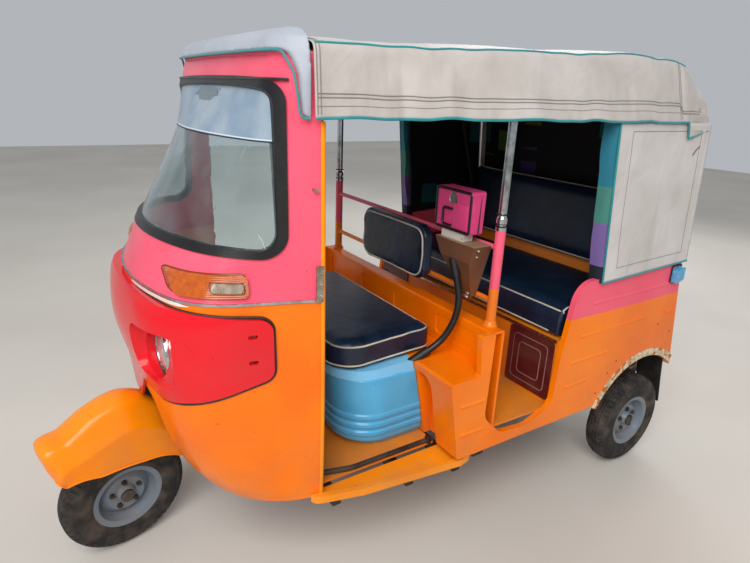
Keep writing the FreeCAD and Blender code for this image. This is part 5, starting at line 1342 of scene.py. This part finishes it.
def canopy_form(inset=0.0, wrinkle=1.0):
    """The cloth as a grid over s and u, where u runs from -1 at the right lower edge through 0 at
    the crown to 1 at the left lower edge. Each cross section is a shallow arc to the shoulders and
    a straight skirt; the cloth dips between hoops, and small waves run across it."""
    rows = []
    for s in CANOPY_S:
        straight = [np.interp(s, CANOPY_ROWS[:, 0], CANOPY_ROWS[:, i]) for i in range(1, 6)]
        soft = [float(eased(CANOPY_ROWS[:, 0], CANOPY_ROWS[:, i], np.array(s))) for i in (1, 2, 3)]
        crown, x_top, z_top = [0.5 * a + 0.5 * b for a, b in zip(straight[:3], soft)]
        x_edge, z_edge = straight[3:]
        before = max(h for h in HOOP_S[:-1] if h <= s)
        after = HOOP_S[HOOP_S.index(before) + 1]
        # 0 at each hoop and 1 midway between two
        slack = math.sin(math.pi * (s - before) / (after - before)) ** 2
        rise = crown - z_top
        radius = (x_top ** 2 + rise ** 2) / (2 * rise)
        turn = math.asin(x_top / radius)
        u = np.abs(CANOPY_U)
        angle = turn * np.minimum(u / SHOULDER, 1)
        down = np.clip((u - SHOULDER) / (1 - SHOULDER), 0, 1)
        x = np.where(u <= SHOULDER, radius * np.sin(angle), x_top + (x_edge - x_top) * down)
        z = np.where(u <= SHOULDER, crown - radius * (1 - np.cos(angle)), z_top + (z_edge - z_top) * down)
        # The bend at the shoulder is eased over a few columns
        for _ in range(6):
            x[1:-1] = (np.abs(x[:-2]) + 2 * np.abs(x[1:-1]) + np.abs(x[2:])) / 4 * (u[1:-1] > 0)
            z[1:-1] = (z[:-2] + 2 * z[1:-1] + z[2:]) / 4
        side = np.sign(CANOPY_U)
        top = 1 - down
        phase = 7.0 * side
        # The dip between hoops, with shallow waves over it
        dip = wrinkle * slack * (0.010 * top * (1 - 0.5 * (u / SHOULDER).clip(0, 1) ** 2)
                                 + 0.0015 * np.sin(46 * s + 3 * CANOPY_U))
        z = z - dip
        # Ripples that grow down the skirts, and the fold that the lacing pulls in at the rear hoop
        ripple = (0.0030 * np.sin(19 * s + phase) + 0.0016 * np.sin(47 * s + 2 * phase + 5 * u)
                  + 0.0012 * np.sin(83 * s - phase)) * down ** 1.3
        pull = 0.0035 * np.exp(-((s - 1.885) / 0.012) ** 2) * (1 - np.abs(u - 0.78) / 0.3).clip(0, 1)
        # Pleats down the rounded tail, none near its middle
        tail = np.clip((s - 1.93) / 0.1, 0, 1)
        pleat = tail * 0.006 * np.sin(34 * u + 4 * side + 6 * (s - 1.93)) * (1 - (u < 0.25))
        x = x - inset * down - wrinkle * (0.004 * slack * down + np.abs(ripple) + pull + np.abs(pleat))
        z = z - inset * top - wrinkle * 0.5 * np.abs(pleat) * top
        z = z + wrinkle * 0.002 * np.sin(23 * s + phase) * down ** 3
        rows.append(np.stack([side * np.abs(x), np.full(len(u), s + AXLE_Y), z], axis=1))
    return np.array(rows)


canopy_grid = canopy_form()
canopy = turned_out(surface("canopy_roof_cloth", canopy_grid, grey_canvas), (0, 1.3 + AXLE_Y, 1.3))
CLOTH_THICKNESS = 0.003
thickened(canopy, CLOTH_THICKNESS)
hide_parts("canopy_roof")


def on_canopy(s, u, out=0.0):
    """Points on the cloth's outer face at s and u, read between the grid's points."""
    s, u = np.broadcast_arrays(np.asarray(s, float), np.asarray(u, float))
    a = np.interp(s, CANOPY_S, np.arange(len(CANOPY_S)))
    b = np.interp(u, CANOPY_U, np.arange(len(CANOPY_U)))
    i, j = a.astype(int).clip(0, len(CANOPY_S) - 2), b.astype(int).clip(0, len(CANOPY_U) - 2)
    p, q = (a - i)[..., None], (b - j)[..., None]
    point = ((canopy_grid[i, j] * (1 - q) + canopy_grid[i, j + 1] * q) * (1 - p)
             + (canopy_grid[i + 1, j] * (1 - q) + canopy_grid[i + 1, j + 1] * q) * p)
    lift = np.stack([np.sign(u) * (np.abs(u) > SHOULDER), np.zeros_like(u), 1.0 * (np.abs(u) <= SHOULDER)],
                    axis=-1)
    return point + lift * out


def skirt_u(s, z):
    """u on the left skirt at height z."""
    z_top = np.interp(s, CANOPY_ROWS[:, 0], CANOPY_ROWS[:, 3])
    z_edge = np.interp(s, CANOPY_ROWS[:, 0], CANOPY_ROWS[:, 5])
    return np.clip(SHOULDER + (1 - SHOULDER) * (z_top - z) / (z_top - z_edge), 0, 1)


shoulder_s = np.linspace(0.484, 1.925, 150)
hem_s = np.linspace(0.480, 2.106, 260)
seam_s = np.linspace(0.484, 2.04, 190)
seam_z = np.interp(seam_s, (0.484, 1.868, 1.888, 2.02, 2.04), (1.545, 1.556, 1.529, 1.533, 1.545))
canopy_trim = []
canopy_stitching = []
for side in (1, -1):
    canopy_trim.append(cord_along("binding", on_canopy(shoulder_s, side * 0.715, 0.0008), 0.0032,
                                  teal_binding, count=8))
    hem_line = on_canopy(hem_s, side * 0.9995, 0.0) + np.array([-side * 0.0012, 0, 0])
    canopy_trim.append(cord_along("binding", hem_line, 0.0030, teal_binding, count=8, squash=1.3))
    for drop in (0.0, -0.009):
        line = on_canopy(seam_s, side * skirt_u(seam_s, seam_z + drop), 0.0004)
        canopy_stitching.append(cord_along("seam", line, 0.0016, seam_thread, count=6))
    hem_seam = on_canopy(hem_s, side * 0.955, 0.0002)
    canopy_stitching.append(cord_along("seam", hem_seam, 0.0010, seam_thread, count=6))
for s in (0.4835, 0.4925, 1.872, 1.884):
    u_line = np.linspace(-0.985, 0.985, 150)
    canopy_stitching.append(cord_along("seam", on_canopy(s, u_line, 0.0004), 0.0015, seam_thread,
                                       up=(0, 1, 0), count=6))
canopy_trim = joined("canopy_teal_binding", canopy_trim)
canopy_stitching = joined("canopy_seams", canopy_stitching)

# Visor. The roof's front end is a padded cap of pale blue-grey cloth, pulled over the cab's top and
# piped in teal along its edge.
visor_cloth = canvas("pale_visor_cloth", "#adb2bb", "#9fa4ad", "#888d95")
stuffed("visor_pad", "canopy_visor", visor_cloth, drawn_in=0.0005, cap=0.003, voxel=0.005,
        blown=False)
CAB_TOP_Z = 1.64
VISOR_HEAD_Z = 1.6405
visor_side = rounded([(0.428, VISOR_HEAD_Z, 0), (0.4355, VISOR_HEAD_Z, 0.010), (0.4500, 1.590, 0.04),
                      (0.4575, 1.4862, 0.014), (0.4775, 1.4845, 0)], 0.006, closed=False)
visor_share = share_at(SCREEN_ROWS, np.minimum(visor_side[:, 1], CAB_TOP_Z), visor_side[:, 0])
visor_front = np.linspace(0, visor_share[0], 46)[:-1]
visor_z = np.concatenate([np.full(len(visor_front), VISOR_HEAD_Z), visor_side[:, 1]])
visor_edge = cab_skin(SCREEN_ROWS, np.minimum(visor_z, CAB_TOP_Z),
                      np.concatenate([visor_front, visor_share]), 0.0185)
visor_edge[:, 2] = visor_z
visor_half = cord_along("half", visor_edge, 0.0034, teal_binding, up=(0, 1, 0.3), count=8)
joined("visor_teal_piping", [visor_half, mirror_of(visor_half, "other_half")])

# Quarter panels and rear curtain. Pale coated cloth laced to the tub and the hoops behind the doors,
# bound in teal, with a stitched inset; the curtain behind has a hem, two seams and two straps.


def billowed(points, out_of, amount, phase):
    """The points moved along out_of by soft waves of that height, always inwards."""
    wave = (np.sin(9.0 * points[..., 1] + phase) + 0.6 * np.sin(17.0 * points[..., 2] + 2 * phase)
            + 0.5 * np.sin(23 * points[..., 1] - 11 * points[..., 2]) + 0.4 * np.sin(13 * points[..., 0]))
    return points - (wave[..., None] + 2.5) / 5.0 * amount * np.asarray(out_of, float)


CLOTH_POINTS = 60
QUARTER_X = 0.6333
QUARTER_HEAD_Z = 1.489
QUARTER_FRONT_Z, QUARTER_REAR_Z = 0.9215, 0.9385
quarter_t = np.linspace(0, 1, CLOTH_POINTS)[:, None]
quarter_w = np.linspace(0, 1, CLOTH_POINTS)[None, :]
quarter_z_front = QUARTER_FRONT_Z + (QUARTER_HEAD_Z - QUARTER_FRONT_Z) * quarter_t
quarter_z_rear = QUARTER_REAR_Z + (QUARTER_HEAD_Z - QUARTER_REAR_Z) * quarter_t
quarter_s = ((1.592 - 0.058 * quarter_t) * (1 - quarter_w) + (2.146 - 0.046 * quarter_t) * quarter_w)
quarter_z = quarter_z_front * (1 - quarter_w) + quarter_z_rear * quarter_w
quarter_grid = np.stack([np.full_like(quarter_s, QUARTER_X), quarter_s + AXLE_Y, quarter_z], axis=-1)
fade = (4 * quarter_t * (1 - quarter_t) * 4 * quarter_w * (1 - quarter_w))[..., None] ** 0.5
quarter_grid = quarter_grid * (1 - fade) + billowed(quarter_grid, (1, 0, 0), 0.006, 0.7) * fade
quarter = turned_out(surface("quarter_cloth_left", quarter_grid, quarter_canvas), (0, 1.8 + AXLE_Y, 1.2))
other_quarter = mirror_of(quarter, "quarter_cloth_right")
for piece in (quarter, other_quarter):
    thickened(piece, CLOTH_THICKNESS)
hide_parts("canopy_quarters")
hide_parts("canopy_quarters")


def on_grid(grid, t, w, out):
    """The points of a square grid that lie nearest the shares t and w, moved by out."""
    t, w = np.broadcast_arrays(np.asarray(t, float), np.asarray(w, float))
    last = CLOTH_POINTS - 1
    return grid[np.rint(t * last).astype(int), np.rint(w * last).astype(int)] + np.asarray(out, float)


edge_t = np.linspace(0, 1, CLOTH_POINTS)
quarter_trim = [
    cord_along("binding", on_grid(quarter_grid, edge_t, 0, (0.0005, 0, 0)), 0.0033, teal_binding,
               up=(0, 1, 0), count=8, squash=1.2),
    cord_along("binding", on_grid(quarter_grid, 0, edge_t, (0.0005, 0, 0)), 0.0033, teal_binding, count=8)]
inset = [(0.09, 0.13), (0.955, 0.13), (0.955, 0.90), (0.09, 0.90)]
for (t0, w0), (t1, w1) in zip(inset, inset[1:] + inset[:1]):
    line = on_grid(quarter_grid, t0 + (t1 - t0) * edge_t, w0 + (w1 - w0) * edge_t, (0.0003, 0, 0))
    quarter_trim.append(cord_along("seam", smoothed(line, 3, closed=False), 0.0011, seam_thread,
                                   up=(0, 1, 0) if w0 == w1 else (0, 0, 1), count=6))
# A tear near the rear of the left quarter: a thin black cord laid on the cloth, painted shade for the dark
# gap of the tear.
tear_painted_shade = [(0.6335, s + AXLE_Y, z) for s, z in ((2.012, 1.372), (2.030, 1.392), (2.050, 1.405))]
quarter_trim.append(cord_along("tear_painted_shade", billowed(np.array(tear_painted_shade), (1, 0, 0), 0.004, 0.7) + (0.002, 0, 0),
                               0.0014, black_plastic, count=6))
quarter_trim = joined("quarter_trim_left", quarter_trim)
other_trim = mirror_of(quarter_trim, "quarter_trim_right")

CURTAIN_FOOT_Z = 0.937
CURTAIN_FOOT_S, CURTAIN_HEAD_S = 2.1360, 2.1000
curtain_t = np.linspace(0, 1, CLOTH_POINTS)[:, None]
curtain_w = np.linspace(-1, 1, CLOTH_POINTS)[None, :]
curtain_z = CURTAIN_FOOT_Z + (0.626 - 0.036 * curtain_w ** 2) * curtain_t
curtain_half = np.interp(curtain_z, (CURTAIN_FOOT_Z, 1.440, 1.527), (0.6245, 0.6245, 0.590))
curtain_s = CURTAIN_FOOT_S + (CURTAIN_HEAD_S - CURTAIN_FOOT_S) * curtain_t + 0 * curtain_w
curtain_grid = np.stack([curtain_half * curtain_w, curtain_s + AXLE_Y, curtain_z], axis=-1)
curtain_fade = (4 * curtain_t * (1 - curtain_t) * (1 - curtain_w ** 2))[..., None] ** 0.5
curtain_grid = (curtain_grid * (1 - curtain_fade)
                + billowed(curtain_grid, (0, 1, 0), 0.008, 2.1) * curtain_fade)
curtain = turned_out(surface("rear_curtain_cloth", curtain_grid, quarter_canvas), (0, 1.8 + AXLE_Y, 1.2))
thickened(curtain, CLOTH_THICKNESS)
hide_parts("rear_curtain")
curtain_trim = [cord_along("binding", on_grid(curtain_grid, 0, edge_t, (0, 0.0008, 0)), 0.0033,
                           teal_binding, count=8)]
for w in (0.30, 0.70):
    curtain_trim.append(cord_along("seam", on_grid(curtain_grid, edge_t, w, (0, 0.0004, 0)), 0.0013,
                                   seam_thread, up=(0, 1, 0), count=6))
for w in (0.20, 0.80):
    strap = on_grid(curtain_grid, np.linspace(0.02, 0.30, 30), w, (0, 0.0018, 0))
    curtain_trim.append(surface("strap", carried(strap, [(-0.011, -0.001), (0.011, -0.001), (0.011, 0.001),
                                                         (-0.011, 0.001)], (0, 1, 0)),
                                grey_canvas, around=True, capped=True, flat=True))
curtain_trim = joined("rear_curtain_trim", curtain_trim)

# Lining. Dark navy cloth inside the roof, quarters and curtain, printed with plain blocks in teal,
# green, purple and olive. It folds round the front edge of each quarter as a wide coloured facing.


def block_print(name, ground, blocks, cell):
    """Printed lining cloth: a dark ground with soft-edged rectangular blocks in a few colours,
    sparse and placed by a cell pattern, matt with a fine weave."""
    material, tree, shader, spot = finish_of(name, 0.8)
    cells = add(tree, "ShaderNodeTexVoronoi", {"Vector": spot, "Scale": 1 / cell, "Randomness": 0.55},
                distance="CHEBYCHEV")
    near = add(tree, "ShaderNodeMath", {0: cells.outputs["Distance"], 1: 0.33}, operation="LESS_THAN")
    hue = add(tree, "ShaderNodeSeparateColor", {0: cells.outputs["Color"]}).outputs[0]
    colour = linear(ground)
    for i, block in enumerate(blocks):
        start = add(tree, "ShaderNodeMath", {0: hue, 1: 0.42 + 0.13 * i}, operation="GREATER_THAN")
        share = add(tree, "ShaderNodeMath", {0: start.outputs[0], 1: near.outputs[0]}, operation="MULTIPLY")
        made = add(tree, "ShaderNodeMix", {0: share.outputs[0], 6: colour, 7: linear(block)},
                   data_type="RGBA")
        colour = made.outputs[2]
    tree.links.new(colour, shader.inputs["Base Color"])
    roughened(tree, shader, spot, 0.0014, 0.0002)
    return material


LINING_COLOURS = ["#0d5a60", "#3f6a1c", "#3a2a63", "#5c5a18"]
lining_cloth = block_print("navy_block_lining", "#04060f", LINING_COLOURS, 0.16)
roof_lining = canopy_form(inset=0.0065, wrinkle=0.9)[2:-12:2, 14:-14:2]
roof_lining = turned_out(surface("roof_lining", roof_lining, lining_cloth), (0, 1.3 + AXLE_Y, 3.0))
side_grid = quarter_grid[:, 2:-2] - np.array([0.0085, 0, 0])
side_lining = turned_out(surface("side_lining_left", side_grid, lining_cloth), (1.2, 1.8 + AXLE_Y, 1.2))
other_lining = mirror_of(side_lining, "side_lining_right")
rear_grid = curtain_grid[:, 2:-2] - np.array([0, 0.0085, 0])
rear_lining = turned_out(surface("rear_lining", rear_grid, lining_cloth), (0, 3.0, 1.2))

# Striped facing: matt woven cloth in four flat bands, darkest at its foot
facing_cloth, facing_tree, facing_shader, facing_spot = finish_of("striped_facing_cloth", 0.75)
facing_z = add(facing_tree, "ShaderNodeSeparateXYZ", {0: facing_spot}).outputs[2]
facing_colour = linear("#081523")
for band_foot, band_colour in ((0.985, "#6f5a94"), (1.145, "#3f7f74"), (1.275, "#1a7186")):
    above = add(facing_tree, "ShaderNodeMath", {0: facing_z, 1: band_foot}, operation="GREATER_THAN")
    facing_colour = add(facing_tree, "ShaderNodeMix", {
        0: above.outputs[0], 6: facing_colour, 7: linear(band_colour)}, data_type="RGBA").outputs[2]
facing_tree.links.new(facing_colour, facing_shader.inputs["Base Color"])
roughened(facing_tree, facing_shader, facing_spot, 0.0014, 0.0003)
facing_edge = on_grid(quarter_grid, edge_t, 0, (0, 0, 0))
facing_profile = np.array([(0.0, 0.002), (-0.010, -0.006), (-0.028, -0.012), (-0.052, -0.014),
                           (-0.056, 0.004), (-0.040, 0.030)])
facing_grid = facing_edge[:, None] + np.stack([
    np.stack([x - 0.004 * np.abs(np.sin(9 * edge_t + i)), s - 0.003 * np.sin(14 * edge_t + i),
              np.zeros(CLOTH_POINTS)], axis=1)
    for i, (x, s) in enumerate(facing_profile)], axis=1)
facing = turned_out(surface("door_facing_left", facing_grid, facing_cloth), (0.58, 1.75 + AXLE_Y, 1.2))
other_facing = mirror_of(facing, "door_facing_right")
wear("canopy_frame", frame_enamel)

# Fare meter. A painted tin box on a white base, with a grey dial, a flap and a black pull handle on
# its front; it is bolted to a folded bracket of rusting sheet between the two cross bars.
meter_enamel = enamel("two_colour_meter_enamel", "#ded9cf", "#b9b2a6", "#e0467f", "#c83c74", seam=1.1175,
                      gloss=0.35, dusty_below=0.2)
bracket_rust = enamel("rusting_bracket_enamel", "#4d3a32", "#77492c", "#a07c60", "#8b6a52", seam=1.0865,
                      gloss=0.5, dusty_below=0.2)
wear("fare_meter", meter_enamel)
wear("meter_bracket", bracket_rust)
METER_FRONT = 1.060 + AXLE_Y
METER_CORNERS = [(0.3015, 1.1235, 0.008), (0.4725, 1.1235, 0.008), (0.4725, 1.2565, 0.008),
                 (0.3015, 1.2565, 0.008)]


def on_meter(corners, out, closed=True):
    """A line on the meter's front through rounded corners, each (x, z, radius)."""
    flat = rounded(corners, 0.004, closed)
    return np.stack([flat[:, 0], np.full(len(flat), METER_FRONT - out), flat[:, 1]], axis=1)


dial_face = bare_metal("grey_dial_face", "#a9aaa6", "#858683", 0.4)
DIAL_PROFILE = [(-0.002, 0.0215), (0.0015, 0.0215), (0.0022, 0.0190), (0.0012, 0.0180), (0.0012, 0.004)]
joined("meter_fittings", [
    cord_along("edging", on_meter(METER_CORNERS, 0.0), 0.0052, black_plastic, up=(0, 1, 0), squash=0.7),
    cord_along("edging", on_meter(METER_CORNERS, -0.040), 0.0056, black_plastic, up=(0, 1, 0), squash=0.6),
    block("flap", (0.387, METER_FRONT - 0.0022, 1.131), (0.462, METER_FRONT + 0.002, 1.214), 0.0015,
          meter_enamel),
    cord_along("handle", on_meter([(0.386, 1.1935, 0), (0.341, 1.1935, 0.009), (0.341, 1.1365, 0.009),
                                   (0.386, 1.1365, 0)], 0.004, closed=False), 0.0042, black_plastic,
               up=(0, 1, 0)),
    revolved("dial", DIAL_PROFILE, (0.386, METER_FRONT, 1.228), (0, -1, 0), dial_face, count=36)])
BRACKET_LEAN = 0.268
joined("bracket_bolts", [
    revolved("bolt", [(-0.003, 0.0058), (0.004, 0.0058), (0.005, 0.0045), (0.008, 0.003), (0.0085, 0.001)],
             (0.515 - (1.090 - z) * BRACKET_LEAN, s + AXLE_Y, z), (1, 0, -BRACKET_LEAN), stud_steel, count=6)
    for s, z in ((1.072, 1.078), (1.072, 1.056), (1.084, 0.917), (1.084, 0.903))])

# Rear lamps. Red tail lamps on the rear wall, and small light blue side lamps on dark gaskets at the
# top of the tub's sides, each held by one screw.
# Moulded lamp plastic: glossy and finely ribbed, red on the low lamps and light blue on the high ones
BLUE_FROM_Z = 0.7
tail_plastic, tail_tree, tail_shader, tail_spot = finish_of(
    "red_and_blue_lamp_plastic", 0.16, Coat_Weight=0.5, Coat_Roughness=0.05)
tail_z = add(tail_tree, "ShaderNodeSeparateXYZ", {0: tail_spot}).outputs[2]
tail_share = add(tail_tree, "ShaderNodeMath", {0: tail_z, 1: BLUE_FROM_Z}, operation="GREATER_THAN")
tail_mix = add(tail_tree, "ShaderNodeMix", {
    0: tail_share.outputs[0], 6: mottled(tail_tree, tail_spot, "#b3121a", "#d0202a", 0.02),
    7: mottled(tail_tree, tail_spot, "#3f96c8", "#62b2dc", 0.02)}, data_type="RGBA")
tail_tree.links.new(tail_mix.outputs[2], tail_shader.inputs["Base Color"])
tail_rib = add(tail_tree, "ShaderNodeTexWave", {"Vector": tail_spot, "Scale": 55.0}, bands_direction="Z")
tail_bump = add(tail_tree, "ShaderNodeBump",
                {"Height": tail_rib.outputs[1], "Distance": 0.0008, "Strength": 0.5})
tail_tree.links.new(tail_bump.outputs[0], tail_shader.inputs["Normal"])
wear("rear_lamps", tail_plastic)
side_gasket = rounded([(2.063, 0.847, 0.008), (2.129, 0.847, 0.008), (2.129, 0.923, 0.008),
                       (2.063, 0.923, 0.008)], 0.005)
side_gasket = np.stack([np.full(len(side_gasket), TUB_SKIN_X), side_gasket[:, 0] + AXLE_Y, side_gasket[:, 1]],
                       axis=1)
side_fittings_left = joined("side_lamp_fittings_left", [
    cord_along("gasket", side_gasket, 0.0034, dark_gasket, up=(1, 0, 0)),
    revolved("screw", head(0.0036), (0.6500, 2.108 + AXLE_Y, 0.862), (1, 0, 0), stud_steel, count=12)])
mirror_of(side_fittings_left, "side_lamp_fittings_right")

# Drilled holes. Five small holes through the sheet of the tub's left side, round the wheel arch and
# towards the rear. Each is drawn as a black disc that lies on the skin: painted shade for the dark
# inside of the tub seen through the hole.
hole_places = [(0.70, s + AXLE_Y, z) for s, z in (
    (2.053, 0.665), (2.156, 0.611), (1.795, 0.553), (1.749, 0.510), (1.692, 0.433))]
hole_centres = on_pad(nodes["tub_left"], hole_places, [(-1, 0, 0)] * len(hole_places))
# The discs wear the black plastic material only as painted shade.
joined("drilled_hole_shade_discs_left", [
    revolved("hole", [(-0.002, 0.0042), (0.0004, 0.0042), (0.0004, 0.0010)], centre, (1, 0, 0),
             black_plastic, count=16) for centre in hole_centres])

# Underbody and rear. Black enamelled bumper tube and swing arms, a plain block of oily alloy for the
# engine, mud flaps cut from rubber behind the rear wheels, and pedals faced with rubber.
engine_metal = bare_metal("oily_engine_alloy", "#77756f", "#4c4944", 0.5)
flap_rubber = rubber("cut_flap_rubber", "#0c0c0c", "#2b2622", 0.6, 0.01)
wear("rear_bumper", frame_enamel)
wear("rear_suspension", frame_enamel)
wear("engine_block", engine_metal)
wear("mud_flaps", flap_rubber)
wear("pedals", gland_rubber)

# The finished object. Its box is measured over every shown piece but the studio floor.
low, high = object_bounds()
